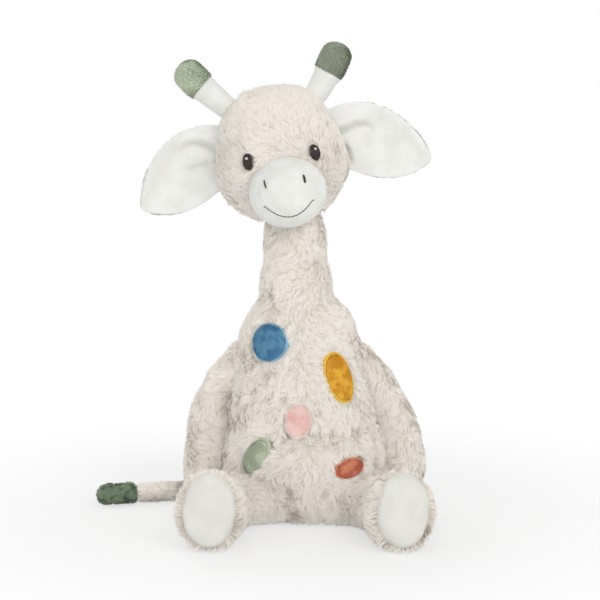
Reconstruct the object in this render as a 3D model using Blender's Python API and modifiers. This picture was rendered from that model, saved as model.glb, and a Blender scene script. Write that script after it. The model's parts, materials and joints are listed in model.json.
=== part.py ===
"""A plush giraffe that sits on the floor, in metres, +Z up.

It faces -Y, so its own left side is at +X. The floor is z = 0. Stuffed forms are oval rings strung on a
curved line. Each skin is such a form given a thickness, with its stuffing inside, and the smaller form is
cut where it meets the larger one. Ends that turn in a socket are parts of a ball round the joint.
"""
import math

import bmesh
import bpy
from mathutils import Matrix, Vector
from mathutils.bvhtree import BVHTree

# Cloth, seams and clearances
PILE_CLOTH = 0.004  # long-pile cloth with its backing
VELOUR = 0.0025
SATIN_STITCH = 0.0009
SEAM_GAP = 0.0005  # between pieces sewn to each other
STUFFING_GAP = 0.0028  # between a skin and what fills it, which has fewer facets
TURN_GAP = 0.0012  # between a ball-shaped end and its socket
OVERRUN = 0.02  # how far a cutter runs past what it cuts
FLAT = 0.0005  # how deep the floor flattens what lies on it
SIDES = {"left": 1, "right": -1}

# Body
BODY_HEIGHT = 0.193  # floor to the rim that holds the neck
BODY_WIDTH = 0.145
BODY_DEPTH = 0.132
BODY_SINK = 0.006  # the body skin's lower edge before the floor cuts it
BODY_RINGS = 13
BODY_SEGMENTS = 28
BODY_STUFFING_RINGS = 10
BODY_STUFFING_SEGMENTS = 20
BALL_SEGMENTS = 32  # of the large sockets
SMALL_BALL_SEGMENTS = 20
# share of the height, of the half width, of the half depth; sideways and forward shift, of the same two
BODY_SHARES = (
    (0.0, 0.83, 0.80, 0.034, 0.05),
    (0.04, 0.935, 0.91, 0.034, 0.06),
    (0.10, 0.985, 0.975, 0.034, 0.06),
    (0.21, 1.0, 1.0, 0.034, 0.06),
    (0.34, 0.955, 0.965, 0.03, 0.06),
    (0.42, 0.91, 0.915, 0.01, 0.05),
    (0.51, 0.86, 0.86, -0.012, 0.045),
    (0.60, 0.805, 0.79, -0.008, 0.03),
    (0.675, 0.76, 0.73, 0.0, 0.015),
    (0.75, 0.70, 0.665, 0.0, 0.0),
    (0.81, 0.645, 0.605, 0.0, 0.0),
    (0.865, 0.58, 0.55, -0.015, 0.0),
    (0.915, 0.495, 0.505, -0.04, 0.0),
    (0.965, 0.45, 0.48, -0.055, 0.0),
    (1.0, 0.435, 0.475, -0.055, 0.0),
)

# Seat
BASE_PANEL_THICK = 0.003
BASE_PANEL_INSET = 0.0090  # from the body's outline at the floor
POUCH_HEIGHT = 0.026
POUCH_LENGTH = 0.096
POUCH_DEPTH = 0.082
POUCH_RINGS = 8
POUCH_SEGMENTS = 20

# Neck
NECK_PIVOT_RISE = 0.011  # above the body's rim
NECK_BALL = 0.036
NECK_WIDTH = 0.064
NECK_TOP_WIDTH = 0.0515
NECK_LEAN = 0.0021  # how far its top leans to the giraffe's right
NECK_RINGS = 8
NECK_SEGMENTS = 20
NECK_SHARES = (0.0, 0.30, 0.62, 1.0)  # along the neck
NECK_SWELL_SHARES = (1.0, 0.92, 0.18, 0.0)  # from the top's width to the foot's width
NECK_HOLE = 0.012
NECK_STUFFING_GAP = 0.0018

# Head, drawn upright round its own pivot, then rolled
HEAD_PIVOT_RISE = 0.036  # above the neck's pivot
HEAD_ROLL = math.radians(8)
HEAD_BALL = 0.0285
HEAD_HEIGHT = 0.122
HEAD_WIDTH = 0.113
HEAD_DEPTH = 0.108
HEAD_FOOT = 0.007  # its lowest point above the pivot
HEAD_FORWARD = 0.003
HEAD_RINGS = 12
HEAD_SEGMENTS = 24
HEAD_STUFFING_RINGS = 10
HEAD_STUFFING_SEGMENTS = 18
# share of the height, of the half width, of the half depth; sideways shift, of the half width
HEAD_SHARES = (
    (0.0, 1.0, 1.0, 0.05),
    (0.13, 1.02, 1.0, 0.04),
    (0.24, 1.06, 1.0, 0.01),
    (0.34, 1.06, 1.0, -0.01),
    (0.45, 1.0, 1.0, -0.02),
    (0.62, 0.95, 1.0, -0.05),
    (0.73, 0.96, 1.0, -0.065),
    (0.85, 1.04, 1.0, -0.08),
    (0.94, 1.15, 1.0, -0.09),
    (1.0, 1.2, 1.0, -0.09),
)

# Muzzle, in the head's drawing space
MUZZLE_WIDTH = 0.0640
MUZZLE_ASIDE = 0.0009  # to the giraffe's left
MUZZLE_HEIGHT = 0.0585
MUZZLE_CENTRE_HEIGHT = 0.041
MUZZLE_REACH = 0.087  # its front, forward of the pivot
MUZZLE_ROUND = 0.036
MUZZLE_ROOT = 0.022
MUZZLE_ROOT_SHARE = 0.82  # its height there, hidden in the head, as a share of its height
MUZZLE_RINGS = 7
MUZZLE_SEGMENTS = 20
MUZZLE_STUFFING_RINGS = 6
MUZZLE_STUFFING_SEGMENTS = 16

# Face stitching, in the head's drawing space
EYE_WIDTH = 0.0092
EYE_HEIGHT = 0.0134
EYE_ASIDE = 0.0283
EYE_CENTRE_HEIGHT = 0.070
EYE_LEAN = {"left": math.radians(12), "right": math.radians(0)}
GLINT_WIDTH = 0.0019
GLINT_RISE = 0.0026
EYE_SEGMENTS = 12
GLINT_SEGMENTS = 6
NOSTRIL_SEGMENTS = 8
NOSTRIL_WIDTH = 0.0026
NOSTRIL_HEIGHT = 0.0066
NOSTRIL_ASIDE = 0.0158
NOSTRIL_CENTRE_HEIGHT = 0.0519
NOSTRIL_LEAN = math.radians(14)
MOUTH_HALF = 0.0203
MOUTH_ASIDE = 0.0010
MOUTH_HEIGHT = 0.0226  # its lowest point
MOUTH_RISE = 0.0118
MOUTH_LINE = 0.0015
MOUTH_SHARES = (-1.0, -0.78, -0.52, -0.26, 0.0, 0.26, 0.52, 0.78, 1.0)

# Ears, in the head's drawing space
EAR_LENGTH = 0.084
EAR_WIDTH = 0.058
EAR_CUP = 0.009
EAR_ROOT_HEIGHT = 0.077
EAR_ROOT_IN = 0.003  # from the head's side to the ear's own origin
EAR_DROOP = {"left": math.radians(20), "right": math.radians(26)}
EAR_TAPER = 0.012  # over which the sheets grow from the pinched root
EAR_PINCH_SHARE = 0.22
EAR_BACKWARD = (math.radians(7), math.radians(16))  # flaps back that the sheets are cut clear for
EAR_ROWS = 8
EAR_COLUMNS = 5
# the leaf's upper and lower edges from root to tip: shares of its length and of its width
EAR_UPPER_SHARES = (
    (-0.24, 0.28), (-0.12, 0.40), (0.04, 0.50), (0.20, 0.565), (0.36, 0.55),
    (0.52, 0.475), (0.67, 0.37), (0.80, 0.24), (0.91, 0.10), (0.985, 0.0),
)
EAR_LOWER_SHARES = (
    (0.07, -0.36), (0.15, -0.39), (0.24, -0.415), (0.34, -0.435), (0.46, -0.435),
    (0.58, -0.415), (0.70, -0.355), (0.81, -0.27), (0.91, -0.17), (0.985, -0.08),
)

# Horns, in the head's drawing space
HORN_LEAN = {"left": math.radians(37), "right": math.radians(42)}
HORN_BACK = 0.004
HORN_BALL = 0.0112
HORN_PIVOT_RISE = 0.004  # the ball's centre above the head's surface
HORN_ROOT_WIDTH = 0.0206
HORN_SEAM_WIDTH = 0.0236
HORN_TIP_WIDTH = 0.0252
HORN_STALK = {"left": 0.0165, "right": 0.0225}  # pivot to colour seam
HORN_TIP = 0.0245
HORN_TIP_ROUND = 0.0095
HORN_TIP_STEP = 0.003  # over which the tip swells from the seam
HORN_BEND = 0.0025
HORN_RINGS = 7
HORN_SEGMENTS = 12

# Arms
ARM_TOP = 0.151
ARM_WIDTH = 0.0325
ARM_DEPTH = 0.034
ARM_REACH = {"left": 0.0005, "right": 0.0}  # how far it hangs clear of the body's side
ARM_BACK = 0.003
ARM_FOOT = 0.014  # its lower end above the floor
ARM_ROUND = 0.015
ARM_RINGS = 11
ARM_SEGMENTS = 14
ARM_STUFFING_RINGS = 8
ARM_STUFFING_SEGMENTS = 12
# share of the way down; of the half width; of the half depth; of the half width out from the body's side
ARM_SHARES = (
    (0.0, 0.50, 0.66, -0.75),
    (0.08, 0.52, 0.70, -0.30),
    (0.17, 0.58, 0.78, 0.40),
    (0.27, 0.70, 0.88, 0.72),
    (0.40, 0.86, 0.96, 0.90),
    (0.55, 0.98, 1.0, 1.0),
    (0.70, 1.0, 1.0, 1.02),
    (0.85, 0.98, 1.0, 1.04),
    (1.0, 0.95, 1.0, 1.06),
)

# Legs
LEG_WIDTH = 0.058
LEG_HEIGHT = 0.042
FOOT_WIDTH = 0.053
FOOT_HEIGHT = 0.069
FOOT_REACH = 0.145  # the sole's plane, forward of the middle
FOOT_ASIDE = {"left": 0.0825, "right": 0.0740}
LEG_ROOT_ASIDE = 0.054
LEG_ROOT_FORWARD = 0.012
LEG_ROOT_ROUND = 0.030
LEG_BEND = 0.004  # how far it bows outward between the hip and the foot
LEG_RINGS = 9
LEG_SEGMENTS = 16
FOOT_ROUND = 0.010
# share of the way to the sole; of the step from the leg's size to the foot's size
LEG_SHARES = ((0.0, 0.0), (0.35, 0.0), (0.55, 0.06), (0.75, 0.42), (0.9, 0.88), (1.0, 1.0))
SOLE_WIDTH = 0.0435
SOLE_HEIGHT = 0.0630
SOLE_CROWN = 0.003
LEG_RANGE = math.radians(55)
LEG_SWEEPS = 3  # turned copies of the body that clear a leg's way up
SWEEP_GAP = 0.0024  # which also clears the spots

# Tail
TAIL_THICK = 0.0185
TAIL_BALL = 0.0105
TAIL_PIVOT_RISE = 0.0045  # the ball's centre behind the body's surface
TAIL_TIP = 0.034
TAIL_END_ROUND = 0.0065
TAIL_SEGMENTS = 10
TAIL_RINGS = 13
TAIL_TIP_RINGS = 6
TAIL_TIP_ASIDE = 0.178
TAIL_TIP_BACK = 0.008
TAIL_CLEAR = 0.0020  # between it and the body's back
TAIL_TURN = 0.0122  # how tightly it turns aside behind its root
# sideways places where it runs round the body's back, shares of the body's half width
TAIL_ROUND_SHARES = (0.42, 0.66, 0.91)
# places along the straight part: shares of the reach, and of the way from the tip's line to the body's
TAIL_STRAIGHT_SHARES = (0.50, 0.62, 0.80)
TAIL_SLOPE = 0.225  # how fast it runs back towards the body

# Belly spots
SPOT_THICK = 0.0012
SPOT_SEGMENTS = 18
# middle, in the body's half widths and heights; width and length, in the body's widths; turn
SPOT_SHARES = {
    "blue": (-0.37, 0.785, 0.245, 0.241, math.radians(0)),
    "yellow": (0.46, 0.640, 0.185, 0.328, math.radians(-13)),
    "pink": (-0.037, 0.466, 0.159, 0.215, math.radians(0)),
    "green": (-0.545, 0.302, 0.138, 0.266, math.radians(33)),
    "red": (0.575, 0.253, 0.114, 0.217, math.radians(82)),
}

COLOURS = {
    "fur": (0.745, 0.680, 0.610),
    "velour": (0.855, 0.850, 0.825),
    "horn_green": (0.265, 0.380, 0.240),
    "tail_green": (0.165, 0.270, 0.140),
    "eye": (0.030, 0.014, 0.010),
    "glint": (0.80, 0.80, 0.80),
    "stuffing": (0.90, 0.90, 0.88),
    "pouch": (0.70, 0.66, 0.58),
    "blue": (0.062, 0.162, 0.376),
    "yellow": (0.730, 0.376, 0.032),
    "pink": (0.831, 0.515, 0.456),
    "green": (0.376, 0.456, 0.282),
    "red": (0.680, 0.205, 0.127),
}
ROUGHNESS = 0.95
STITCH_ROUGHNESS = 0.45


def clear_scene():
    for thing in list(bpy.data.objects):
        bpy.data.objects.remove(thing)


def new_collection(name):
    made = bpy.data.collections.new(name)
    bpy.context.scene.collection.children.link(made)
    return made


def material(name, colour, roughness):
    made = bpy.data.materials.new(name)
    made.use_nodes = True
    shader = made.node_tree.nodes["Principled BSDF"]
    shader.inputs["Base Color"].default_value = (*colour, 1)
    shader.inputs["Roughness"].default_value = roughness
    shader.inputs["Metallic"].default_value = 0
    made.diffuse_color = (*colour, 1)
    return made


def smooth(rows, at):
    """Reads rows of numbers at a place among their first numbers, on one smooth curve through them all."""
    places = [row[0] for row in rows]
    at = min(max(at, places[0]), places[-1])
    i = max(k for k in range(len(rows) - 1) if places[k] <= at)
    before, start, end, after = (rows[min(max(i + k, 0), len(rows) - 1)] for k in (-1, 0, 1, 2))
    span = end[0] - start[0]
    t = (at - start[0]) / span
    read = []
    for a, b, c, d in zip(before[1:], start[1:], end[1:], after[1:]):
        slope_in = (c - a) * span / (end[0] - before[0])
        slope_out = (d - b) * span / (after[0] - start[0])
        read.append(
            b * (2 * t**3 - 3 * t**2 + 1)
            + c * (3 * t**2 - 2 * t**3)
            + slope_in * (t**3 - 2 * t**2 + t)
            + slope_out * (t**3 - t**2)
        )
    return read


class Stuffed:
    """Oval rings strung on a smooth line through stations of (centre, half width, half depth)."""

    SAMPLES = 120

    def __init__(self, stations, across, rings, segments, round_start=0, round_end=0, ball_start=0, ball_end=0):
        self.across = Vector(across)
        self.rings = rings
        self.segments = segments
        self.round_start = round_start
        self.round_end = round_end
        self.ball_start = ball_start
        self.ball_end = ball_end
        place = 0
        self.rows = []
        for i, (centre, half_width, half_depth) in enumerate(stations):
            if i:
                place += (Vector(centre) - Vector(stations[i - 1][0])).length
            self.rows.append((place, *centre, half_width, half_depth))
        self.length = place

    def centre(self, place):
        return Vector(smooth(self.rows, place)[:3])

    def halves(self, place):
        half_width, half_depth = smooth(self.rows, place)[3:]
        to_end = self.length - place
        for near, size in ((place, self.round_start), (to_end, self.round_end)):
            if near < size:
                share = math.sqrt(max(0, 1 - (1 - near / size) ** 2))
                half_width, half_depth = half_width * share, half_depth * share
        for near, size in ((place, self.ball_start), (to_end, self.ball_end)):
            if near < size:
                most = math.sqrt(max(0, size**2 - (size - near) ** 2))
                half_width, half_depth = min(half_width, most), min(half_depth, most)
        return half_width, half_depth

    def frame(self, place):
        step = self.length / self.SAMPLES
        ahead = self.centre(place + step) - self.centre(place - step)
        tangent = ahead.normalized()
        across = (self.across - tangent * self.across.dot(tangent)).normalized()
        return across, tangent.cross(across), tangent

    def places(self, start, end):
        """Places for the rings, the same distance apart over the surface."""
        run = [start + (end - start) * k / self.SAMPLES for k in range(self.SAMPLES + 1)]
        sizes = [sum(self.halves(place)) / 2 for place in run]
        gone = [0]
        for k in range(self.SAMPLES):
            gone.append(gone[-1] + math.hypot(run[k + 1] - run[k], sizes[k + 1] - sizes[k]))
        picked = []
        k = 0
        for ring in range(self.rings + 1):
            wanted = gone[-1] * ring / self.rings
            while k < self.SAMPLES - 1 and gone[k + 1] < wanted:
                k += 1
            part = (wanted - gone[k]) / (gone[k + 1] - gone[k])
            picked.append(run[k] + (run[k + 1] - run[k]) * part)
        return picked

    def profile(self, place, inset):
        """The place and half sizes of a ring that is drawn in by inset, square to the surface."""
        step = self.length / self.SAMPLES / 4
        low, high = max(0, place - step), min(self.length, place + step)
        rise = sum(self.halves(high)) / 2 - sum(self.halves(low)) / 2
        size = math.hypot(high - low, rise)
        along, out = -rise / size, (high - low) / size
        half_width, half_depth = self.halves(place)
        return (
            place - inset * along,
            max(0, half_width - inset * out),
            max(0, half_depth - inset * out),
        )

    def mesh(self, inset=0, start=0, end=None, caps=True):
        """A mesh of the form, drawn in by inset. An end of no size is one point, and a wide one has a cap."""
        least = self.length / self.SAMPLES / 8
        made = bmesh.new()
        loops = []
        for place in self.places(start, self.length if end is None else end):
            where, half_width, half_depth = self.profile(place, inset)
            across, depth, tangent = self.frame(min(max(where, 0), self.length))
            over = where - min(max(where, 0), self.length)
            centre = self.centre(where) + tangent * over
            if min(half_width, half_depth) < least:
                loops.append([made.verts.new(centre)])
                continue
            loop = []
            for k in range(self.segments):
                turn = 2 * math.pi * k / self.segments
                offset = across * half_width * math.cos(turn) + depth * half_depth * math.sin(turn)
                loop.append(made.verts.new(centre + offset))
            loops.append(loop)
        for low, high in zip(loops, loops[1:]):
            for k in range(self.segments):
                after = (k + 1) % self.segments
                if len(low) == 1:
                    made.faces.new([low[0], high[after], high[k]])
                elif len(high) == 1:
                    made.faces.new([low[k], low[after], high[0]])
                else:
                    made.faces.new([low[k], low[after], high[after], high[k]])
        if caps and len(loops[0]) > 1:
            made.faces.new(reversed(loops[0]))
        if caps and len(loops[-1]) > 1:
            made.faces.new(loops[-1])
        return made


def finish_mesh(name, made, space, joint, collection, look):
    """An object of the mesh, drawn in space and carried by joint."""
    data = bpy.data.meshes.new(name)
    made.to_mesh(data)
    made.free()
    data.transform(joint.matrix_world.inverted() @ space)
    data.shade_smooth()
    data.set_sharp_from_angle(angle=math.radians(50))
    thing = bpy.data.objects.new(name, data)
    collection.objects.link(thing)
    thing.parent = joint
    if look:
        rough = STITCH_ROUGHNESS if look in ("eye", "glint") else ROUGHNESS
        data.materials.append(material(name, COLOURS[look], rough))
    else:
        thing.hide_render = True
        thing.display_type = "WIRE"
    return thing


def piece(name, made, joint, look, space=Matrix()):
    return finish_mesh(name, made, space, joint, parts, look)


def cutter(name, made, joint, space=Matrix()):
    return finish_mesh(name, made, space, joint, cutters, None)


def thicken(thing, thickness, side=-1, group=None, least_share=0):
    shell = thing.modifiers.new("Cloth", "SOLIDIFY")
    shell.thickness = thickness
    shell.offset = side
    shell.use_even_offset = True
    if group:
        shell.vertex_group = group
        shell.thickness_vertex_group = least_share
    return thing


def cut(thing, *tools):
    for tool in tools:
        made = thing.modifiers.new(tool.name, "BOOLEAN")
        made.operation = "DIFFERENCE"
        made.object = tool
    return thing


def ball(name, radius, joint, segments):
    made = bmesh.new()
    bmesh.ops.create_uvsphere(made, u_segments=segments, v_segments=segments // 2, radius=radius)
    return cutter(name, made, joint, joint.matrix_world.copy())


def pivot(name, parent, matrix):
    """An empty on a joint's axis. Its parts are placed from it."""
    empty = bpy.data.objects.new(name, None)
    empty.empty_display_size = BODY_HEIGHT / 10
    parts.objects.link(empty)
    empty.parent = parent
    empty.matrix_world = matrix
    bpy.context.view_layer.update()
    return empty


def tree_of(form, inset=0):
    made = form.mesh(inset)
    made.normal_update()
    tree = BVHTree.FromBMesh(made)
    made.free()
    return tree


def laid_disc(tree, centre, toward, upright, width, height, turn, lift, segments, egg_share=0):
    """An oval net that lies on a surface, a lift above it, seen against the direction toward."""
    side = toward.cross(upright).normalized()
    up = side.cross(toward).normalized()
    made = bmesh.new()
    rings = []
    for share in (0, 0.55, 1):
        ring = []
        for k in range(segments if share else 1):
            angle = 2 * math.pi * k / segments
            high = math.sin(angle)
            across = math.cos(angle) * (1 - egg_share * high) * share * width / 2
            along = high * share * height / 2
            x = across * math.cos(turn) + along * math.sin(turn)
            z = along * math.cos(turn) - across * math.sin(turn)
            hit, normal, _, _ = tree.find_nearest(centre + side * x + up * z)
            ring.append(made.verts.new(hit + normal * lift))
        rings.append(ring)
    for inner, outer in zip(rings, rings[1:]):
        for k in range(segments):
            after = (k + 1) % segments
            if len(inner) == 1:
                made.faces.new([inner[0], outer[k], outer[after]])
            else:
                made.faces.new([inner[k], outer[k], outer[after], inner[after]])
    return made


def surface_point(tree, inside, direction):
    return tree.ray_cast(inside, direction)[0]


def side_of(normal):
    """The level part of a direction."""
    return Vector((normal.x, normal.y, 0)).normalized()


clear_scene()
parts = new_collection("plush_giraffe")
cutters = new_collection("cutters")
root = pivot("body_joint", None, Matrix())


# Forms of the body


def body_station(row):
    height, width, depth, aside, forward = row
    half_width, half_depth = BODY_WIDTH / 2, BODY_DEPTH / 2
    centre = (aside * half_width, -forward * half_depth, height * (BODY_HEIGHT + BODY_SINK) - BODY_SINK)
    return centre, width * half_width, depth * half_depth


body_form = Stuffed([body_station(row) for row in BODY_SHARES], (1, 0, 0), BODY_RINGS, BODY_SEGMENTS)
body_tree = tree_of(body_form)


def body_side(height, side):
    """How far out the body's side is at a height, for one side of the toy."""
    place = height + BODY_SINK
    return side * body_form.centre(place).x + body_form.halves(place)[0]


neck_foot_x = body_form.centre(body_form.length).x
neck_place = Vector((neck_foot_x, 0, BODY_HEIGHT + NECK_PIVOT_RISE))
neck_joint = pivot("neck_joint", root, Matrix.Translation(neck_place))
head_place = neck_place + Vector((-NECK_LEAN, 0, HEAD_PIVOT_RISE))
head_space = Matrix.Translation(head_place) @ Matrix.Rotation(-HEAD_ROLL, 4, "Y")
head_joint = pivot("head_joint", neck_joint, head_space)

floor_mesh = bmesh.new()
bmesh.ops.create_cube(floor_mesh, size=1)
bmesh.ops.scale(floor_mesh, vec=(4 * BODY_WIDTH, 4 * BODY_DEPTH, OVERRUN), verts=floor_mesh.verts)
bmesh.ops.translate(floor_mesh, vec=(0, 0, -OVERRUN / 2), verts=floor_mesh.verts)
floor = cutter("floor_cutter", floor_mesh, root)
neck_socket = ball("neck_socket", NECK_BALL + TURN_GAP, neck_joint, BALL_SEGMENTS)
head_socket = ball("head_socket", HEAD_BALL + TURN_GAP, head_joint, BALL_SEGMENTS)
body_cutter = cutter("body_cutter", body_form.mesh(-SEAM_GAP), root)

# Tail's joint, which the body makes room for
tail_height = TAIL_THICK / 2 - FLAT
tail_seat = surface_point(body_tree, Vector((0, 0, tail_height)), Vector((0, 1, 0)))
tail_place = tail_seat + Vector((0, TAIL_PIVOT_RISE, 0))
tail_joint = pivot("tail_joint", root, Matrix.Translation(tail_place))
tail_socket = ball("tail_socket", TAIL_BALL + TURN_GAP, tail_joint, SMALL_BALL_SEGMENTS)

# Body skin, its stuffing, the base panel and the bean pouch
body_skin = piece("body_skin", body_form.mesh(caps=False), root, "fur")
cut(thicken(body_skin, PILE_CLOTH), floor, neck_socket, tail_socket)

base_place = BODY_SINK
base_halves = body_form.halves(base_place)
panel_mesh = bmesh.new()
bmesh.ops.create_cone(
    panel_mesh, cap_ends=True, segments=BODY_SEGMENTS, radius1=1, radius2=1, depth=BASE_PANEL_THICK
)
panel_size = (base_halves[0] - BASE_PANEL_INSET, base_halves[1] - BASE_PANEL_INSET, 1)
bmesh.ops.scale(panel_mesh, vec=panel_size, verts=panel_mesh.verts)
panel_centre = body_form.centre(base_place) + Vector((0, 0, BASE_PANEL_THICK / 2))
bmesh.ops.translate(panel_mesh, vec=panel_centre, verts=panel_mesh.verts)
base_panel = piece("base_panel", panel_mesh, root, "fur")

pouch_floor = BASE_PANEL_THICK + SEAM_GAP
pouch_centre = body_form.centre(pouch_floor)
pouch_halves = (POUCH_LENGTH / 2, POUCH_DEPTH / 2)
pouch_form = Stuffed(
    [
        ((pouch_centre.x, pouch_centre.y, pouch_floor), *pouch_halves),
        ((pouch_centre.x, pouch_centre.y, pouch_floor + POUCH_HEIGHT), *pouch_halves),
    ],
    (1, 0, 0),
    rings=POUCH_RINGS,
    segments=POUCH_SEGMENTS,
    round_start=POUCH_HEIGHT / 2,
    round_end=POUCH_HEIGHT / 2,
)
bean_pouch = piece("bean_pouch", pouch_form.mesh(), root, "pouch")
pouch_cutter = cutter("pouch_cutter", pouch_form.mesh(-SEAM_GAP), root)

stuffing_form = Stuffed(
    [body_station(row) for row in BODY_SHARES], (1, 0, 0), BODY_STUFFING_RINGS, BODY_STUFFING_SEGMENTS
)
body_filling = piece(
    "body_filling",
    stuffing_form.mesh(PILE_CLOTH + STUFFING_GAP, start=BODY_SINK + pouch_floor),
    root,
    "stuffing",
)
cut(body_filling, pouch_cutter, neck_socket, tail_socket)

# Neck skin and its stuffing
neck_low = neck_place - Vector((0, 0, NECK_BALL))
neck_high = head_place + Vector((0, 0, HEAD_BALL))
neck_stations = []
for along, swell in zip(NECK_SHARES, NECK_SWELL_SHARES):
    half = (NECK_TOP_WIDTH + (NECK_WIDTH - NECK_TOP_WIDTH) * swell) / 2
    neck_stations.append((neck_low.lerp(neck_high, along), half, half))


neck = Stuffed(
    neck_stations, (1, 0, 0), NECK_RINGS, NECK_SEGMENTS, ball_start=NECK_BALL, ball_end=HEAD_BALL
)
neck_open_low = NECK_BALL - math.sqrt(NECK_BALL**2 - NECK_HOLE**2)
neck_open_high = neck.length - HEAD_BALL + math.sqrt(HEAD_BALL**2 - NECK_HOLE**2)
neck_skin = piece(
    "neck_skin", neck.mesh(start=neck_open_low, end=neck_open_high, caps=False), neck_joint, "fur"
)
thicken(neck_skin, PILE_CLOTH)
neck_filling = piece("neck_filling", neck.mesh(PILE_CLOTH + NECK_STUFFING_GAP), neck_joint, "stuffing")

# Head skin and its stuffing


def head_station(row):
    height, width, depth, aside = row
    centre = (aside * HEAD_WIDTH / 2, -HEAD_FORWARD, HEAD_FOOT + height * HEAD_HEIGHT)
    return centre, width * HEAD_WIDTH / 2, depth * HEAD_DEPTH / 2


def head_form(rings, segments):
    half = HEAD_HEIGHT / 2
    stations = [head_station(row) for row in HEAD_SHARES]
    return Stuffed(stations, (1, 0, 0), rings, segments, round_start=half, round_end=half)


head = head_form(HEAD_RINGS, HEAD_SEGMENTS)
head_tree = tree_of(head)
head_cutter = cutter("head_cutter", head.mesh(-SEAM_GAP), head_joint, head_space)
head_middle = Vector((0, -HEAD_FORWARD, HEAD_FOOT + HEAD_HEIGHT / 2))

horn_joints = {}
horn_sockets = []
horn_axes = {}
for name, side in SIDES.items():
    lean = HORN_LEAN[name]
    axis = Vector((side * math.sin(lean), 0, math.cos(lean)))
    start = head_middle + Vector((0, HORN_BACK + HEAD_FORWARD, 0))
    seat = surface_point(head_tree, start, axis) + axis * HORN_PIVOT_RISE
    horn_axes[name] = axis
    joint = pivot("horn_joint_" + name, head_joint, head_space @ Matrix.Translation(seat))
    horn_joints[name] = joint
    socket = ball("horn_socket_" + name, HORN_BALL + TURN_GAP, joint, SMALL_BALL_SEGMENTS)
    horn_sockets.append(socket)

head_skin = piece("head_skin", head.mesh(), head_joint, "fur", head_space)
cut(thicken(head_skin, PILE_CLOTH), head_socket, *horn_sockets)
head_filling = piece(
    "head_filling",
    head_form(HEAD_STUFFING_RINGS, HEAD_STUFFING_SEGMENTS).mesh(PILE_CLOTH + STUFFING_GAP),
    head_joint,
    "stuffing",
    head_space,
)
cut(head_filling, head_socket, *horn_sockets)

# Muzzle, which swells forward out of the face


def muzzle_form(rings, segments):
    stations = []
    for forward, share in (
        (MUZZLE_ROOT, MUZZLE_ROOT_SHARE), (MUZZLE_REACH - MUZZLE_ROUND, 1), (MUZZLE_REACH, 1)
    ):
        centre = (MUZZLE_ASIDE, -forward, MUZZLE_CENTRE_HEIGHT)
        stations.append((centre, MUZZLE_WIDTH / 2, MUZZLE_HEIGHT / 2 * share))
    return Stuffed(stations, (1, 0, 0), rings, segments, round_end=MUZZLE_ROUND)


muzzle = muzzle_form(MUZZLE_RINGS, MUZZLE_SEGMENTS)
muzzle_tree = tree_of(muzzle)
muzzle_skin = piece("muzzle", muzzle.mesh(caps=False), head_joint, "velour", head_space)
cut(thicken(muzzle_skin, VELOUR), head_cutter)
muzzle_filling = piece(
    "muzzle_filling",
    muzzle_form(MUZZLE_STUFFING_RINGS, MUZZLE_STUFFING_SEGMENTS).mesh(VELOUR + STUFFING_GAP),
    head_joint,
    "stuffing",
    head_space,
)
cut(muzzle_filling, head_cutter)

# Stitched eyes, glints, nostrils and mouth
BACK = Vector((0, 1, 0))
UP = Vector((0, 0, 1))
for name, side in SIDES.items():
    eye_centre = Vector((side * EYE_ASIDE, -HEAD_DEPTH, EYE_CENTRE_HEIGHT))
    seat = head_tree.ray_cast(eye_centre, BACK)[0]
    flat = Vector((seat.x, seat.y, 0)).normalized()
    toward = -(flat + Vector((0, -1, 0))).normalized()
    eye_mesh = laid_disc(
        head_tree, seat, toward, UP, EYE_WIDTH, EYE_HEIGHT, -EYE_LEAN[name], SEAM_GAP + SATIN_STITCH, EYE_SEGMENTS
    )
    thicken(piece("eye_" + name, eye_mesh, head_joint, "eye", head_space), SATIN_STITCH)
    glint_centre = seat + UP * GLINT_RISE
    glint_lift = 2 * (SEAM_GAP + SATIN_STITCH)
    glint_mesh = laid_disc(
        head_tree, glint_centre, toward, UP, GLINT_WIDTH, GLINT_WIDTH, 0, glint_lift, GLINT_SEGMENTS
    )
    thicken(piece("glint_" + name, glint_mesh, head_joint, "glint", head_space), SATIN_STITCH)
    nostril_centre = Vector((side * NOSTRIL_ASIDE, -MUZZLE_REACH - OVERRUN, NOSTRIL_CENTRE_HEIGHT))
    nostril_mesh = laid_disc(
        muzzle_tree,
        muzzle_tree.ray_cast(nostril_centre, BACK)[0],
        BACK,
        UP,
        NOSTRIL_WIDTH,
        NOSTRIL_HEIGHT,
        side * NOSTRIL_LEAN,
        SEAM_GAP + SATIN_STITCH,
        NOSTRIL_SEGMENTS,
    )
    thicken(piece("nostril_" + name, nostril_mesh, head_joint, "eye", head_space), SATIN_STITCH)

mouth_mesh = bmesh.new()
mouth_pairs = []
for share in MOUTH_SHARES:
    middle = Vector((MOUTH_ASIDE + share * MOUTH_HALF, -MUZZLE_REACH, MOUTH_HEIGHT + MOUTH_RISE * share**2))
    across = Vector((-2 * MOUTH_RISE * share, 0, MOUTH_HALF)).normalized() * MOUTH_LINE / 2
    pair = []
    for point in (middle - across, middle + across):
        hit = muzzle_tree.ray_cast(point - BACK * OVERRUN, BACK)[0]
        pair.append(mouth_mesh.verts.new(hit - BACK * (SEAM_GAP + SATIN_STITCH)))
    mouth_pairs.append(pair)
for here, there in zip(mouth_pairs, mouth_pairs[1:]):
    mouth_mesh.faces.new([here[0], there[0], there[1], here[1]])
mouth = thicken(piece("mouth", mouth_mesh, head_joint, "eye", head_space), SATIN_STITCH)
cut(mouth, cutter("muzzle_cutter", muzzle.mesh(-SEAM_GAP / 2), head_joint, head_space))


# Ears, two sheets each, pinched at the root


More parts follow.
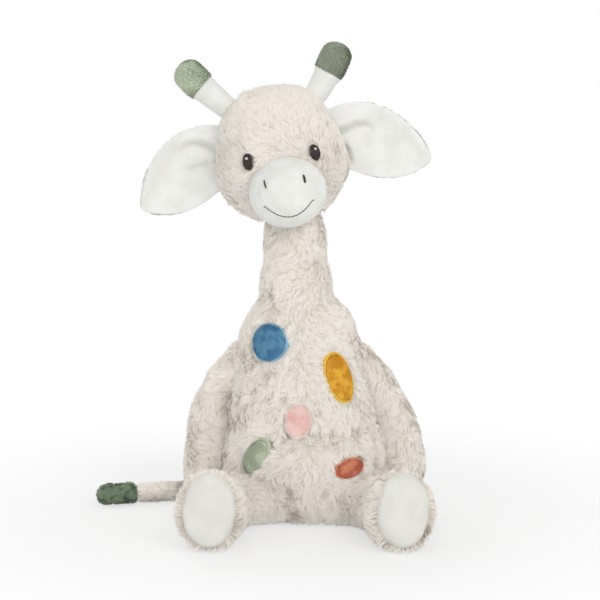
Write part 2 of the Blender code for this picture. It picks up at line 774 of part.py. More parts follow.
def ear_point(side, droop, row, column):
    upper = smooth([(k, *pair) for k, pair in enumerate(EAR_UPPER_SHARES)], row)
    lower = smooth([(k, *pair) for k, pair in enumerate(EAR_LOWER_SHARES)], row)
    along = (upper[0] + (lower[0] - upper[0]) * column) * EAR_LENGTH
    high = (upper[1] + (lower[1] - upper[1]) * column) * EAR_WIDTH
    x = along * math.cos(droop) + high * math.sin(droop)
    z = high * math.cos(droop) - along * math.sin(droop)
    cup = EAR_CUP * (1 - (2 * column - 1) ** 2) * math.sin(math.pi * row / (len(EAR_UPPER_SHARES) - 1))
    return Vector((side * x, cup, z))


def ear_sheet(name, side_name, look, thickness, facing):
    side, droop = SIDES[side_name], EAR_DROOP[side_name]
    height = EAR_ROOT_HEIGHT
    place = height - HEAD_FOOT
    out = side * head.centre(place).x + head.halves(place)[0] - EAR_ROOT_IN
    origin = Vector((side * out, -HEAD_FORWARD, height))
    made = bmesh.new()
    weights = made.verts.layers.deform.new()
    rows = []
    last = len(EAR_UPPER_SHARES) - 1
    for r in range(EAR_ROWS + 1):
        line = []
        for c in range(EAR_COLUMNS + 1):
            point = origin + ear_point(side, droop, last * r / EAR_ROWS, c / EAR_COLUMNS)
            vertex = made.verts.new(point + Vector((0, facing * SEAM_GAP / 2, 0)))
            near, normal, _, _ = head_tree.find_nearest(point)
            vertex[weights][0] = min(1, max(0, (point - near).dot(normal)) / EAR_TAPER)
            line.append(vertex)
        rows.append(line)
    for near, far in zip(rows, rows[1:]):
        for c in range(EAR_COLUMNS):
            corners = [near[c], near[c + 1], far[c + 1], far[c]]
            made.faces.new(corners if side < 0 else reversed(corners))
    sheet = piece(name + "_" + side_name, made, ear_joints[side_name], look, head_space)
    sheet.vertex_groups.new(name="swell")
    thicken(sheet, thickness, facing, "swell", EAR_PINCH_SHARE)
    return cut(sheet, head_cutter, *ear_sweeps[side_name])


ear_joints = {}
ear_sweeps = {}
for name, side in SIDES.items():
    widest = max(
        side * head.centre(place).x + head.halves(place)[0]
        for place in (EAR_ROOT_HEIGHT - HEAD_FOOT + EAR_WIDTH * share for share in (-0.5, -0.25, 0, 0.25, 0.5))
    )
    hinge = Vector((side * (widest + SEAM_GAP), -HEAD_FORWARD, EAR_ROOT_HEIGHT))
    ear_joints[name] = pivot("ear_joint_" + name, head_joint, head_space @ Matrix.Translation(hinge))
    ear_sweeps[name] = []
    for k, back in enumerate(EAR_BACKWARD):
        swung = Matrix.Translation(hinge) @ Matrix.Rotation(-side * back, 4, "Z") @ Matrix.Translation(-hinge)
        sweep = cutter(f"ear_sweep_{name}_{k}", head.mesh(-SEAM_GAP), head_joint, head_space @ swung)
        ear_sweeps[name].append(sweep)
    ear_sheet("ear_front", name, "velour", VELOUR, -1)
    ear_sheet("ear_back", name, "fur", PILE_CLOTH, 1)


# Horns: a velour stalk on a ball-shaped root, and a towelling tip


def horn_piece(axis, seat, stations, **ends):
    turned = [(seat + axis * up + Vector((0, 0, bend)), half, half) for up, bend, half in stations]
    return Stuffed(turned, (0, 1, 0), HORN_RINGS, HORN_SEGMENTS, **ends)


for name, side in SIDES.items():
    seat = head_space.inverted() @ horn_joints[name].matrix_world.translation
    axis = horn_axes[name]
    root_half, seam_half, tip_half = HORN_ROOT_WIDTH / 2, HORN_SEAM_WIDTH / 2, HORN_TIP_WIDTH / 2
    stalk = horn_piece(
        axis,
        seat,
        ((-HORN_BALL, 0, root_half), (0, 0, root_half), (HORN_STALK[name], 0, seam_half)),
        ball_start=HORN_BALL,
    )
    piece("horn_stalk_" + name, stalk.mesh(), horn_joints[name], "velour", head_space)
    tip_start = HORN_STALK[name] + SEAM_GAP
    tip = horn_piece(
        axis,
        seat,
        (
            (tip_start, 0, seam_half),
            (tip_start + HORN_TIP_STEP, 0, tip_half),
            (tip_start + HORN_TIP / 2, HORN_BEND / 2, tip_half),
            (tip_start + HORN_TIP, HORN_BEND, tip_half),
        ),
        round_end=HORN_TIP_ROUND,
    )
    piece("horn_tip_" + name, tip.mesh(), horn_joints[name], "horn_green", head_space)

# Arms: they hang from the shoulder against the body's side


def arm_form(side, reach, rings, segments):
    stations = []
    for down, width, depth, out in ARM_SHARES:
        height = ARM_TOP + (ARM_FOOT - ARM_TOP) * down
        half_width = width * ARM_WIDTH / 2
        gap = (SEAM_GAP + reach * down) if out > 0 else 0
        aside = body_side(height, side) + gap + out * ARM_WIDTH / 2
        stations.append(((side * aside, ARM_BACK * down, height), half_width, depth * ARM_DEPTH / 2))
    return Stuffed(stations, (side, 0, 0), rings, segments, round_end=ARM_ROUND)


for name, side in SIDES.items():
    shoulder = Vector((side * body_side(ARM_TOP, side), 0, ARM_TOP))
    arm_joint = pivot("arm_joint_" + name, root, Matrix.Translation(shoulder))
    arm = arm_form(side, ARM_REACH[name], ARM_RINGS, ARM_SEGMENTS)
    arm_skin = piece("arm_skin_" + name, arm.mesh(caps=False), arm_joint, "fur")
    cut(thicken(arm_skin, PILE_CLOTH), body_cutter)
    stuffing = arm_form(side, ARM_REACH[name], ARM_STUFFING_RINGS, ARM_STUFFING_SEGMENTS)
    filled = stuffing.mesh(PILE_CLOTH + STUFFING_GAP)
    cut(piece("arm_filling_" + name, filled, arm_joint, "stuffing"), body_cutter)

# Legs: they reach forward from the hips, and soles close their feet


def leg_form(side, foot_aside):
    start = Vector((side * LEG_ROOT_ASIDE, -LEG_ROOT_FORWARD, 0))
    end = Vector((side * foot_aside, -FOOT_REACH, 0))
    bow = (end - start).normalized().cross(UP) * -side * LEG_BEND
    stations = []
    for along, step in LEG_SHARES:
        half_width = (LEG_WIDTH + (FOOT_WIDTH - LEG_WIDTH) * step) / 2
        half_height = (LEG_HEIGHT + (FOOT_HEIGHT - LEG_HEIGHT) * step) / 2
        middle = start.lerp(end, along) + bow * math.sin(math.pi * along)
        stations.append((middle + UP * (half_height - FLAT), half_width, half_height))
    return Stuffed(
        stations, (side, 0, 0), LEG_RINGS, LEG_SEGMENTS, round_start=LEG_ROOT_ROUND, round_end=FOOT_ROUND
    )


for name, side in SIDES.items():
    leg = leg_form(side, FOOT_ASIDE[name])
    straight = (leg.centre(leg.length) - leg.centre(0)).normalized()
    ahead = Vector((straight.x, straight.y, 0)).normalized()
    hip_start = leg.centre(0) + UP * (LEG_HEIGHT / 2)
    hip = surface_point(body_tree, hip_start, ahead)
    lift_axis = ahead.cross(UP)
    leg_joint = pivot("leg_joint_" + name, root, Matrix.Translation(hip))
    sweeps = [body_cutter]
    for k in range(LEG_SWEEPS):
        turn = -LEG_RANGE * (k + 1) / LEG_SWEEPS
        swung = Matrix.Translation(hip) @ Matrix.Rotation(turn, 4, lift_axis) @ Matrix.Translation(-hip)
        sweeps.append(cutter(f"leg_sweep_{name}_{k}", body_form.mesh(-SWEEP_GAP), root, swung))
    rim_place = leg.length - FOOT_ROUND * (1 - math.sqrt(1 - (SOLE_HEIGHT / FOOT_HEIGHT) ** 2))
    leg_skin = piece("leg_skin_" + name, leg.mesh(end=rim_place, caps=False), leg_joint, "fur")
    cut(thicken(leg_skin, PILE_CLOTH), floor, *sweeps)
    filled = leg.mesh(PILE_CLOTH + STUFFING_GAP, end=leg.length - FOOT_ROUND / 2)
    leg_filling = piece("leg_filling_" + name, filled, leg_joint, "stuffing")
    cut(leg_filling, *sweeps)
    across, high, tangent = leg.frame(leg.length)
    sole_mesh = bmesh.new()
    sole_rings = []
    for share in (0, 0.4, 0.75, 1):
        ring = []
        for k in range(LEG_SEGMENTS if share else 1):
            angle = 2 * math.pi * k / LEG_SEGMENTS
            point = leg.centre(rim_place) + tangent * (2 * SEAM_GAP + VELOUR + SOLE_CROWN * (1 - share**2))
            point += across * (math.cos(angle) * share * SOLE_WIDTH / 2)
            point += high * (math.sin(angle) * share * SOLE_HEIGHT / 2)
            ring.append(sole_mesh.verts.new(point))
        sole_rings.append(ring)
    for inner, outer in zip(sole_rings, sole_rings[1:]):
        for k in range(LEG_SEGMENTS):
            after = (k + 1) % LEG_SEGMENTS
            if len(inner) == 1:
                sole_mesh.faces.new([inner[0], outer[k], outer[after]])
            else:
                sole_mesh.faces.new([inner[k], outer[k], outer[after], inner[after]])
    thicken(piece("sole_" + name, sole_mesh, leg_joint, "velour"), VELOUR)

# Tail: it lies on the floor and runs round to the giraffe's right


def tail_centre(aside, back):
    return Vector((-aside, back, tail_height))


tail_points = [tail_place - Vector((0, TAIL_BALL, 0)), tail_place]
for angle in (math.radians(45), math.radians(90)):
    turned = Vector((math.cos(angle) - 1, math.sin(angle), 0)) * TAIL_TURN
    tail_points.append(tail_place + turned)
for share in TAIL_ROUND_SHARES:
    aside = share * BODY_WIDTH / 2
    seat, outward, _, _ = body_tree.ray_cast(Vector((-aside, 0, TAIL_THICK)), BACK)
    tail_points.append(seat + side_of(outward) * (TAIL_THICK / 2 + TAIL_CLEAR))
    tail_points[-1].z = tail_height
for share in TAIL_STRAIGHT_SHARES + (1.0,):
    aside = share * TAIL_TIP_ASIDE
    tail_points.append(tail_centre(aside, TAIL_TIP_BACK + TAIL_SLOPE * (TAIL_TIP_ASIDE - aside)))
tail_half = TAIL_THICK / 2
whole_tail = Stuffed(
    [(point, tail_half, tail_half) for point in tail_points],
    (0, 0, 1),
    TAIL_RINGS,
    TAIL_SEGMENTS,
    ball_start=TAIL_BALL,
    round_end=TAIL_END_ROUND,
)
tail_seam = whole_tail.length - TAIL_TIP
tail = piece("tail", whole_tail.mesh(end=tail_seam), tail_joint, "fur")
cut(tail, floor)
whole_tail.rings = TAIL_TIP_RINGS
tail_tip = piece("tail_tip", whole_tail.mesh(start=tail_seam + SEAM_GAP), tail_joint, "tail_green")
cut(tail_tip, floor)

# Spots sewn on the belly
for name, (aside, height, width, length, turn) in SPOT_SHARES.items():
    width, length = width * BODY_WIDTH, length * BODY_WIDTH
    centre = Vector((aside * BODY_WIDTH / 2, -BODY_DEPTH, height * BODY_HEIGHT))
    seat, outward, _, _ = body_tree.ray_cast(centre, BACK)
    spot_mesh = laid_disc(
        body_tree, seat, -outward, UP, width, length, turn, 2 * SEAM_GAP + SPOT_THICK, SPOT_SEGMENTS
    )
    thicken(piece("spot_" + name, spot_mesh, root, name), SPOT_THICK)
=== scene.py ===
"""The looks of a sitting plush giraffe, put together in the order in which such a toy is sewn.

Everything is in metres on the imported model's frame: the floor is z = 0, the toy faces -Y, and its own left
side is at +X. Long pile is real: each lock is a narrow blade that lies along the cloth.
"""
import json
import math

import bmesh
import bpy
import numpy as np
import openvdb
from mathutils import Matrix, Vector
from mathutils.bvhtree import BVHTree
from mathutils.kdtree import KDTree


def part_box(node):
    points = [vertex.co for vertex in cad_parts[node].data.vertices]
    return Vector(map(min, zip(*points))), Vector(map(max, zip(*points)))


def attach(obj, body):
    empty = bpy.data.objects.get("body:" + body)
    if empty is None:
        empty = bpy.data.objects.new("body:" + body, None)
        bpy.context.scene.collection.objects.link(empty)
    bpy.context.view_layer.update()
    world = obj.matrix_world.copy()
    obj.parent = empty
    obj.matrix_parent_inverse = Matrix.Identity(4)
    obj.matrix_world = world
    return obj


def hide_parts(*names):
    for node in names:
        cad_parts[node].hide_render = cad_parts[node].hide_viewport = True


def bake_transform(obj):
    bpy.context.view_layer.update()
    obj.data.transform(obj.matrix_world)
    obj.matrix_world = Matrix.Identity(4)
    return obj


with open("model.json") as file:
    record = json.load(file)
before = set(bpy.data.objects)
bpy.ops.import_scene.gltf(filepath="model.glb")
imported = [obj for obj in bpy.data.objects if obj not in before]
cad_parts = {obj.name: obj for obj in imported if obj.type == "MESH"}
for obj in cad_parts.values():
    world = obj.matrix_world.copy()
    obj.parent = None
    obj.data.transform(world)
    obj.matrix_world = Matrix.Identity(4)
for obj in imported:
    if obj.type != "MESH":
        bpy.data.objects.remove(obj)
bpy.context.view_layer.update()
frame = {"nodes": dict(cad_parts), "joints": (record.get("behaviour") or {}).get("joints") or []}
SIDES = {"left": 1, "right": -1}
PIVOTS = {joint["name"]: np.array(joint["pos_m"]) for joint in frame["joints"]}

# Body and neck skin
# A pear-shaped bag of long-pile cloth over loose stuffing, with the neck run on from it in the same cloth.
# The pile is combed down and outward, and it gathers in tufts, so that darker gaps show between them, where
# the locks' roots carry painted shade.
VOXEL = 0.0024
REACH = 0.028  # how far from a surface its distances are known
CLOSE = 0.0016  # closes the hollows between a skin and its stuffing
TOY_LOW = (-0.134, -0.170, -0.034)
TOY_HIGH = (0.134, 0.096, 0.436)
BODY_LOCKS = 92000
BODY_PILE = {"length": 0.0068, "height": 0.0030, "width": 0.00076, "tuft": 0.0047}
NECK_FOLDS = ((0.2188, 0.0009, 0.0060), (0.1916, 0.0007, 0.0055))  # height, depth and width of its creases
NECK_FLARE = 0.004
YOKE = (  # where the neck widens to the shoulders: height, middle, half width and half depth
    (0.112, -0.0010, 0.0460, 0.0400), (0.130, -0.0010, 0.0525, 0.0440), (0.144, -0.0010, 0.0530, 0.0440),
    (0.154, -0.0030, 0.0518, 0.0422), (0.163, -0.0022, 0.0484, 0.0400),
    (0.1705, -0.0022, 0.0440, 0.0375), (0.180, -0.0036, 0.0365, 0.0342), (0.187, -0.0040, 0.0326, 0.0322),
    (0.200, -0.0047, 0.0313, 0.0311),
)
SHOULDER_FLARE = 0.018
SHOULDER_HEIGHTS = (0.095, 0.125)  # between these its flare grows
SHOULDER_TOP = (0.0580, 0.1418)  # a point of the line that slopes from the neck over the arm, and its slope
SHOULDER_SLOPE = (0.735, 0.678)
LAP_FLARE = 0.030
LAP_HEIGHTS = (0.050, 0.022)  # between these its flare grows, downward
HEM = 0.018  # under this height the pile is twice as thick
FLOOR_CLEAR = 0.0004
FLAT_PILE = 4.0  # pile that is pressed flat on the floor lies up to this many times as high
BULGE = 0.26  # how round a blade shades
BURIED = -0.006  # pile that starts deeper than this inside a limb or the skin is left out
BURIED_IN_HEAD = -0.004
BURIED_IN_BODY = -0.003
FACING_DOWN = -0.93  # the upward share of the normals under the seat
SEAT_HEIGHT = 0.006  # under this height what faces down has no pile
LIFTED_HEIGHT = 0.012  # under this height the pile hangs over the edge
ARM_ROUNDED = 0.0045
ARM_CUT = 0.010
LEG_CLOSE = 0.006
LEG_ROUNDED = 0.0042

# The fur's colour at the root is darkened as painted shade between the locks.
FUR_ROOT_SHADED = (0.860, 0.790, 0.712)
FUR_TIP = (0.955, 0.911, 0.856)
# The fur's own backing cloth, its colour darkened partly as painted shade deep between the locks.
CLOTH_BACKING = (0.820, 0.760, 0.690)


def distances(points, faces, voxel, low, shape):
    """How far each point of a grid is from a closed surface, and less than 0 inside it."""
    kind = "quads" if faces.shape[1] == 4 else "triangles"
    grid = openvdb.FloatGrid.createLevelSetFromPolygons(
        points, transform=openvdb.createLinearTransform(voxel), halfWidth=REACH / voxel, **{kind: faces}
    )
    field = np.full(shape, REACH, np.float32)
    grid.copyToArray(field, ijk=low)
    return field


class Form:
    """A soft shape, as a grid of distances to its surface."""

    def __init__(self, field, voxel, low):
        self.field = field
        self.voxel = voxel
        self.low = low

    def surface(self, level):
        grid = openvdb.FloatGrid(REACH)
        grid.transform = openvdb.createLinearTransform(self.voxel)
        grid.copyFromArray(self.field, ijk=self.low)
        return grid.convertToQuads(isovalue=level)

    def shaped(self, field):
        return Form(field.astype(np.float32), self.voxel, self.low)

    def remade(self, level):
        """The same shape moved out by level, with true distances again."""
        points, quads = self.surface(level)
        return self.shaped(distances(points, quads, self.voxel, self.low, self.field.shape))

    def at(self, points):
        """The distances at any points."""
        where = np.asarray(points) / self.voxel - np.array(self.low)
        where = np.clip(where, 0, np.array(self.field.shape) - 1.001)
        whole = where.astype(int)
        part = where - whole
        found = 0
        for corner in np.ndindex(2, 2, 2):
            weight = np.prod(np.where(corner, part, 1 - part), axis=1)
            found = found + weight * self.field[tuple((whole + corner).T)]
        return found

    def places(self):
        """The grid's own x, y and z, ready to be broadcast."""
        out = []
        for k in range(3):
            line = (np.arange(self.field.shape[k]) + self.low[k]) * self.voxel
            out.append(line.reshape([-1 if j == k else 1 for j in range(3)]))
        return out


def form(*nodes, voxel=VOXEL, low=TOY_LOW, high=TOY_HIGH):
    """The outer shape of solids taken together, without the hollows between them."""
    first = tuple(int(v) for v in np.floor(np.array(low) / voxel))
    shape = tuple(int(v) for v in np.ceil(np.array(high) / voxel) - np.array(first))
    field = np.full(shape, REACH, np.float32)
    for node in nodes:
        mesh = frame["nodes"][node].data
        mesh.calc_loop_triangles()
        points = read(mesh.vertices, "co", 3)
        faces = read(mesh.loop_triangles, "vertices", 3, np.int32)
        field = np.minimum(field, distances(points, faces, voxel, first, shape))
    return filled(Form(field, voxel, first), CLOSE)


def read(items, what, width, kind=np.float64):
    """One array of a property of a mesh's vertices, normals or triangles."""
    out = np.empty(len(items) * width, kind)
    items.foreach_get(what, out)
    return out.reshape(-1, width)


def joined(a, b, flare):
    """Two shapes as one, with a soft hollow of the size of flare between them."""
    flare = np.maximum(flare, 1e-6)
    near = np.clip(flare - np.abs(a.field - b.field), 0, None) / flare
    return a.shaped(np.minimum(a.field, b.field) - near**2 * flare / 4)


def rounded(shape, radius):
    """A shape whose sharp edges have a radius."""
    smaller = shape.remade(-radius)
    return shape.shaped(smaller.field - radius)


def filled(shape, radius):
    """A shape whose gaps that are narrower than twice a radius are closed."""
    larger = shape.remade(radius)
    return shape.shaped(larger.field + radius)


def cut(shape, field, radius):
    """A shape without what lies outside another field, with a rounded edge where they meet."""
    near = np.clip(radius - np.abs(shape.field - field), 0, None) / radius
    return shape.shaped(np.maximum(shape.field, field) + near**2 * radius / 4)


def rooted(shape, host, flare, depth):
    """A limb that is let into its host by depth, with the hollow between them filled."""
    both = joined(shape, host, flare)
    return shape.shaped(np.maximum(both.field, shape.field - depth))


def fade(low, high, at):
    """0 where at is low, 1 where it is high, and smooth between them."""
    share = np.clip((at - low) / (high - low), 0, 1)
    return share * share * (3 - 2 * share)


def place(name, data, dye=None):
    if dye:
        data.materials.append(dye)
    thing = bpy.data.objects.new(name, data)
    bpy.context.scene.collection.objects.link(thing)
    return thing


def cloth(name, shape, dye, drawn_in=0.0):
    """A smooth object of a shape, drawn in from its surface."""
    points, quads = shape.surface(-drawn_in)
    data = bpy.data.meshes.new(name)
    data.from_pydata(points.tolist(), [], quads.tolist())
    data.update()
    thing = place(name, data)
    press = thing.modifiers.new("Press", "SMOOTH")
    press.factor = 0.5
    press.iterations = 6
    settle(thing, dye)
    return thing


def settle(thing, dye):
    """Applies a piece's modifiers, smooths its shading and gives it its material."""
    graph = bpy.context.evaluated_depsgraph_get()
    made = bpy.data.meshes.new_from_object(thing.evaluated_get(graph))
    thing.modifiers.clear()
    thing.data = made
    made.name = thing.name
    made.shade_smooth()
    made.materials.append(dye)


def push(thing, move):
    """Moves a mesh's points by a function of its points and normals."""
    points = read(thing.data.vertices, "co", 3)
    normals = read(thing.data.vertex_normals, "vector", 3)
    thing.data.vertices.foreach_set("co", (points + move(points, normals)).ravel())
    thing.data.update()


def ripple(points, size, seed):
    """A smooth random value, mostly between -1 and 1, that changes over size."""
    chance = np.random.default_rng(seed)
    waves = chance.normal(size=(9, 3)) * 2.2 / size
    phases = chance.random(9) * 2 * math.pi
    return np.sin(points @ waves.T + phases).sum(axis=1) / 2.4


def unit(vectors):
    return vectors / np.maximum(np.linalg.norm(vectors, axis=-1, keepdims=True), 1e-12)


def sown(base, count, seed):
    """Points spread evenly over a cloth, its smooth normals there, and its area."""
    mesh = base.data
    mesh.calc_loop_triangles()
    points = read(mesh.vertices, "co", 3)
    normals = read(mesh.vertex_normals, "vector", 3)
    corners = read(mesh.loop_triangles, "vertices", 3, np.int32)
    a, b, c = (points[corners[:, k]] for k in range(3))
    area = np.cumsum(np.linalg.norm(np.cross(b - a, c - a), axis=1) / 2)
    chance = np.random.default_rng(seed)
    pick = np.searchsorted(area, (np.arange(count) + chance.random(count)) / count * area[-1])
    pick = np.minimum(pick, len(area) - 1)
    u, v = chance.random((2, count))
    over = u + v > 1
    u[over], v[over] = 1 - u[over], 1 - v[over]
    weights = np.stack([1 - u - v, u, v], axis=1)[:, :, None]
    at = (points[corners[pick]] * weights).sum(axis=1)
    up = unit((normals[corners[pick]] * weights).sum(axis=1))
    return at, up, area[-1]


def turned(vectors, about, angle):
    """Vectors turned round unit vectors that are square to them."""
    return vectors * np.cos(angle)[:, None] + np.cross(about, vectors) * np.sin(angle)[:, None]


def comb(at, up, area, lay, fleece, seed, unruly=1.0, gather=0.46):
    """The locks' middle lines, from root over bend to tip. Locks lean together in tufts."""
    chance = np.random.default_rng(seed)
    count = len(at)
    length = fleece["length"]
    height = np.broadcast_to(fleece["height"], count)
    way = lay(at, up)
    way = unit(way - up * (way * up).sum(axis=1, keepdims=True))
    swirl = 0.50 * ripple(at, 0.034, seed + 1) + 0.36 * ripple(at, 0.011, seed + 2)
    way = turned(way, up, (swirl + 0.24 * chance.normal(size=count)) * unruly)
    heads = chance.choice(count, max(8, int(area / fleece["tuft"] ** 2)), replace=False)
    found = KDTree(len(heads))
    for k, head in enumerate(heads):
        found.insert(at[head], k)
    found.balance()
    near = np.array([found.find(point)[1] for point in at])
    head = heads[near]
    tuft_tone = chance.random(len(heads))[near]
    reach = (length * chance.uniform(0.70, 1.12, count))[:, None]
    rise = (height * chance.uniform(0.72, 1.18, count) * (0.80 + 0.36 * tuft_tone))[:, None]
    tip = at + way * reach + up * rise
    gathered = at[head] + way[head] * reach * 1.05 + up[head] * rise * 1.1
    tip = tip + (gathered - tip) * gather
    across = np.cross(up, way)
    curl = (0.10 * ripple(at, 0.006, seed + 3) + 0.06 * chance.normal(size=count))[:, None] * length
    bend = at + way * reach * 0.44 + up * rise * 0.88 + across * curl
    bend += (gathered - bend) * gather * 0.2
    tone = np.stack([chance.random(count), tuft_tone], axis=1)
    root = at - up * height[:, None] * 0.35
    return {"lines": np.stack([root, bend, tip], axis=1), "up": up, "way": way, "tone": tone}


def kept(locks, good):
    return {key: value[good] for key, value in locks.items()}


def clear_of(locks, edges, gaps):
    """Which locks keep their root, bend and tip outside the edges, each by a gap of its own."""
    clear = np.ones(len(locks["lines"]), bool)
    for edge in edges:
        for k, gap in enumerate(gaps):
            clear &= edge.beyond(locks["lines"][:, k]) > gap
    return clear


def flow(at, x, y, z):
    """One direction for each point, from numbers or arrays."""
    return np.stack(np.broadcast_arrays(np.zeros(len(at)) + x, y, z), axis=1)


def pile(name, locks, dye, fleece, seed):
    """Blades along the locks' middle lines. Their normals bulge, so that each shades as a round lock."""
    chance = np.random.default_rng(seed)
    lines, up, way = locks["lines"], locks["up"], locks["way"]
    count = len(lines)
    across = turned(unit(np.cross(up, way)), way, chance.normal(size=count) * 0.35)
    half = (fleece["width"] * chance.uniform(0.36, 0.64, count))[:, None]
    root, bend, tip = lines[:, 0], lines[:, 1], lines[:, 2]
    corners = [root - across * half, root + across * half, bend - across * half, bend + across * half, tip]
    corners = np.stack(corners, axis=1)
    corners[:, :, 2] = np.maximum(corners[:, :, 2], FLOOR_CLEAR * chance.uniform(1, FLAT_PILE, (count, 1)))
    low_face, high_face = unit(np.cross(bend - root, across)), unit(np.cross(tip - bend, across))
    low_out, high_out = ((face * up).sum(axis=1, keepdims=True) > 0 for face in (low_face, high_face))
    low_face, high_face = np.where(low_out, low_face, -low_face), np.where(high_out, high_face, -high_face)
    both = (low_face + high_face) / 2
    flat = np.stack([low_face, low_face, both, both, high_face], axis=1)
    sides = np.array([-BULGE, BULGE, -BULGE, BULGE, 0])[None, :, None]
    normals = unit(flat * 0.6 + up[:, None] * 0.4 + across[:, None] * sides)
    mesh = bpy.data.meshes.new(name)
    first = np.arange(count)[:, None] * 5
    faces = [np.where(low_out, [0, 2, 3, 1], [0, 1, 3, 2]), np.where(high_out, [2, 4, 3], [2, 3, 4])]
    faces = (first + np.hstack(faces)).ravel()
    starts = (np.arange(count)[:, None] * 7 + np.array([[0, 4]])).ravel()
    mesh.vertices.add(count * 5)
    mesh.vertices.foreach_set("co", corners.ravel())
    mesh.loops.add(len(faces))
    mesh.loops.foreach_set("vertex_index", faces.astype(np.int32))
    mesh.polygons.add(len(starts))
    mesh.polygons.foreach_set("loop_start", starts.astype(np.int32))
    mesh.update(calc_edges=True)
    mesh.shade_smooth()
    mesh.normals_split_custom_set_from_vertices(normals.reshape(-1, 3).tolist())
    tones = np.ones((count, 5, 4), np.float32)
    tones[:, :, 0] = np.array([0, 0, 0.55, 0.55, 1])
    tones[:, :, 1:3] = locks["tone"][:, None]
    mesh.attributes.new("pile", "FLOAT_COLOR", "POINT").data.foreach_set("color", tones.ravel())
    rows = math.ceil(math.sqrt(count))
    cell = np.stack([np.arange(count) % rows, np.arange(count) // rows], axis=1)[:, None]
    spot = np.array([[0.1, 0.1], [0.9, 0.1], [0.1, 0.55], [0.9, 0.55], [0.5, 0.92]])
    places = ((cell + spot[None]) / rows).reshape(-1, 2)[faces]
    mesh.uv_layers.new(name="OFBake").data.foreach_set("uv", places.ravel())
    hair = place(name, mesh, dye)
    # The pile casts no shadow; the darker roots of its colour are painted shade in its place.
    hair.visible_shadow = False
    return hair


class Shade:
    """One socket of a dye's nodes. Python's own operators on it add Math nodes."""

    def __init__(self, dye, socket):
        self.dye = dye
        self.socket = socket

    def math(self, operation, a, b=0.0):
        return self.dye.node("ShaderNodeMath", {"operation": operation}, {0: a, 1: b})

    def __add__(self, other):
        return self.math("ADD", self, other)

    def __radd__(self, other):
        return self.math("ADD", other, self)

    def __sub__(self, other):
        return self.math("SUBTRACT", self, other)

    def __rsub__(self, other):
        return self.math("SUBTRACT", other, self)

    def __mul__(self, other):
        return self.math("MULTIPLY", self, other)

    def __rmul__(self, other):
        return self.math("MULTIPLY", other, self)

    def between(self, low, high):
        """0 below low, 1 above high."""
        sockets = {"Value": self, "From Min": low, "From Max": high}
        return self.dye.node("ShaderNodeMapRange", {"interpolation_type": "SMOOTHSTEP"}, sockets)

    def mix(self, low, high):
        return self.dye.node("ShaderNodeMix", {"data_type": "RGBA"}, {0: self, 6: low, 7: high}, out=2)


class Dye:
    """A cloth's material. Its shades are made from nodes and end in its shader's sockets."""

    FEEDS = {"colour": "Base Color", "roughness": "Roughness", "normal": "Normal"}

    def __init__(self, name, roughness, shine=0.25, sheen=0.0, sheen_roughness=0.5):
        self.material = bpy.data.materials.new(name)
        self.material.use_nodes = True
        self.tree = self.material.node_tree
        self.shader = self.tree.nodes["Principled BSDF"]
        sockets = {"Roughness": roughness, "Specular IOR Level": shine, "Sheen Weight": sheen,
                   "Sheen Roughness": sheen_roughness}
        for socket, value in sockets.items():
            self.shader.inputs[socket].default_value = value

    def node(self, kind, settings, sockets, out=0):
        made = self.tree.nodes.new(kind)
        for key, value in settings.items():
            setattr(made, key, value)
        for key, value in sockets.items():
            if isinstance(value, Shade):
                self.tree.links.new(value.socket, made.inputs[key])
            elif isinstance(value, tuple) and len(made.inputs[key].default_value) == 4:
                made.inputs[key].default_value = (*value, 1)
            else:
                made.inputs[key].default_value = value
        return Shade(self, made.outputs[out])

    def place(self):
        return self.node("ShaderNodeTexCoord", {}, {}, out=3)

    def noise(self, size, detail=2.0):
        sockets = {"Vector": self.place(), "Scale": 1 / size, "Detail": detail}
        return self.node("ShaderNodeTexNoise", {}, sockets)

    def attribute(self, name):
        """The three numbers of a mesh's own attribute."""
        stored = self.node("ShaderNodeAttribute", {"attribute_name": name}, {})
        parts = self.node("ShaderNodeSeparateColor", {}, {0: stored})
        return [Shade(self, socket) for socket in parts.socket.node.outputs]

    def grey(self, level):
        return self.node("ShaderNodeCombineColor", {}, {0: level, 1: level, 2: level})

    def times(self, a, b):
        settings = {"data_type": "RGBA", "blend_type": "MULTIPLY"}
        return self.node("ShaderNodeMix", settings, {0: 1.0, 6: a, 7: b}, out=2)

    def bump(self, height, distance, strength=1.0):
        sockets = {"Height": height, "Distance": distance, "Strength": strength}
        return self.node("ShaderNodeBump", {}, sockets)

    def feed(self, **shades):
        for key, shade in shades.items():
            self.tree.links.new(shade.socket, self.shader.inputs[self.FEEDS[key]])
        return self.material


def fur_dye(name, root, tip, vary=0.06, patch=0.03):
    """Long pile: dark at the root as painted shade, pale at the tip, a tone for each lock and tuft, and soft
    wide patches.
    """
    dye = Dye(name, roughness=0.9, sheen=0.15, sheen_roughness=0.4)
    along, lock, tuft = dye.attribute("pile")
    # Painted shade: the colour darkens from the tip towards the root.
    colour = along.between(0.0, 0.8).mix(root, tip)
    level = (1 - vary - patch) + vary * 0.6 * lock + vary * 0.4 * tuft + patch * dye.noise(0.03)
    return dye.feed(colour=dye.times(colour, dye.grey(level)))


def backing_dye(name, colour):
    """Knitted backing, which only shows deep between the locks, where its darker colour is partly painted
    shade.
    """
    dye = Dye(name, roughness=0.95)
    knit = dye.noise(0.0006, detail=1.0)
    dark = tuple(0.88 * c for c in colour)
    return dye.feed(colour=knit.mix(dark, colour), normal=dye.bump(knit, 0.0004))


fur = fur_dye("fur", FUR_ROOT_SHADED, FUR_TIP)
backing = backing_dye("fur_backing", CLOTH_BACKING)

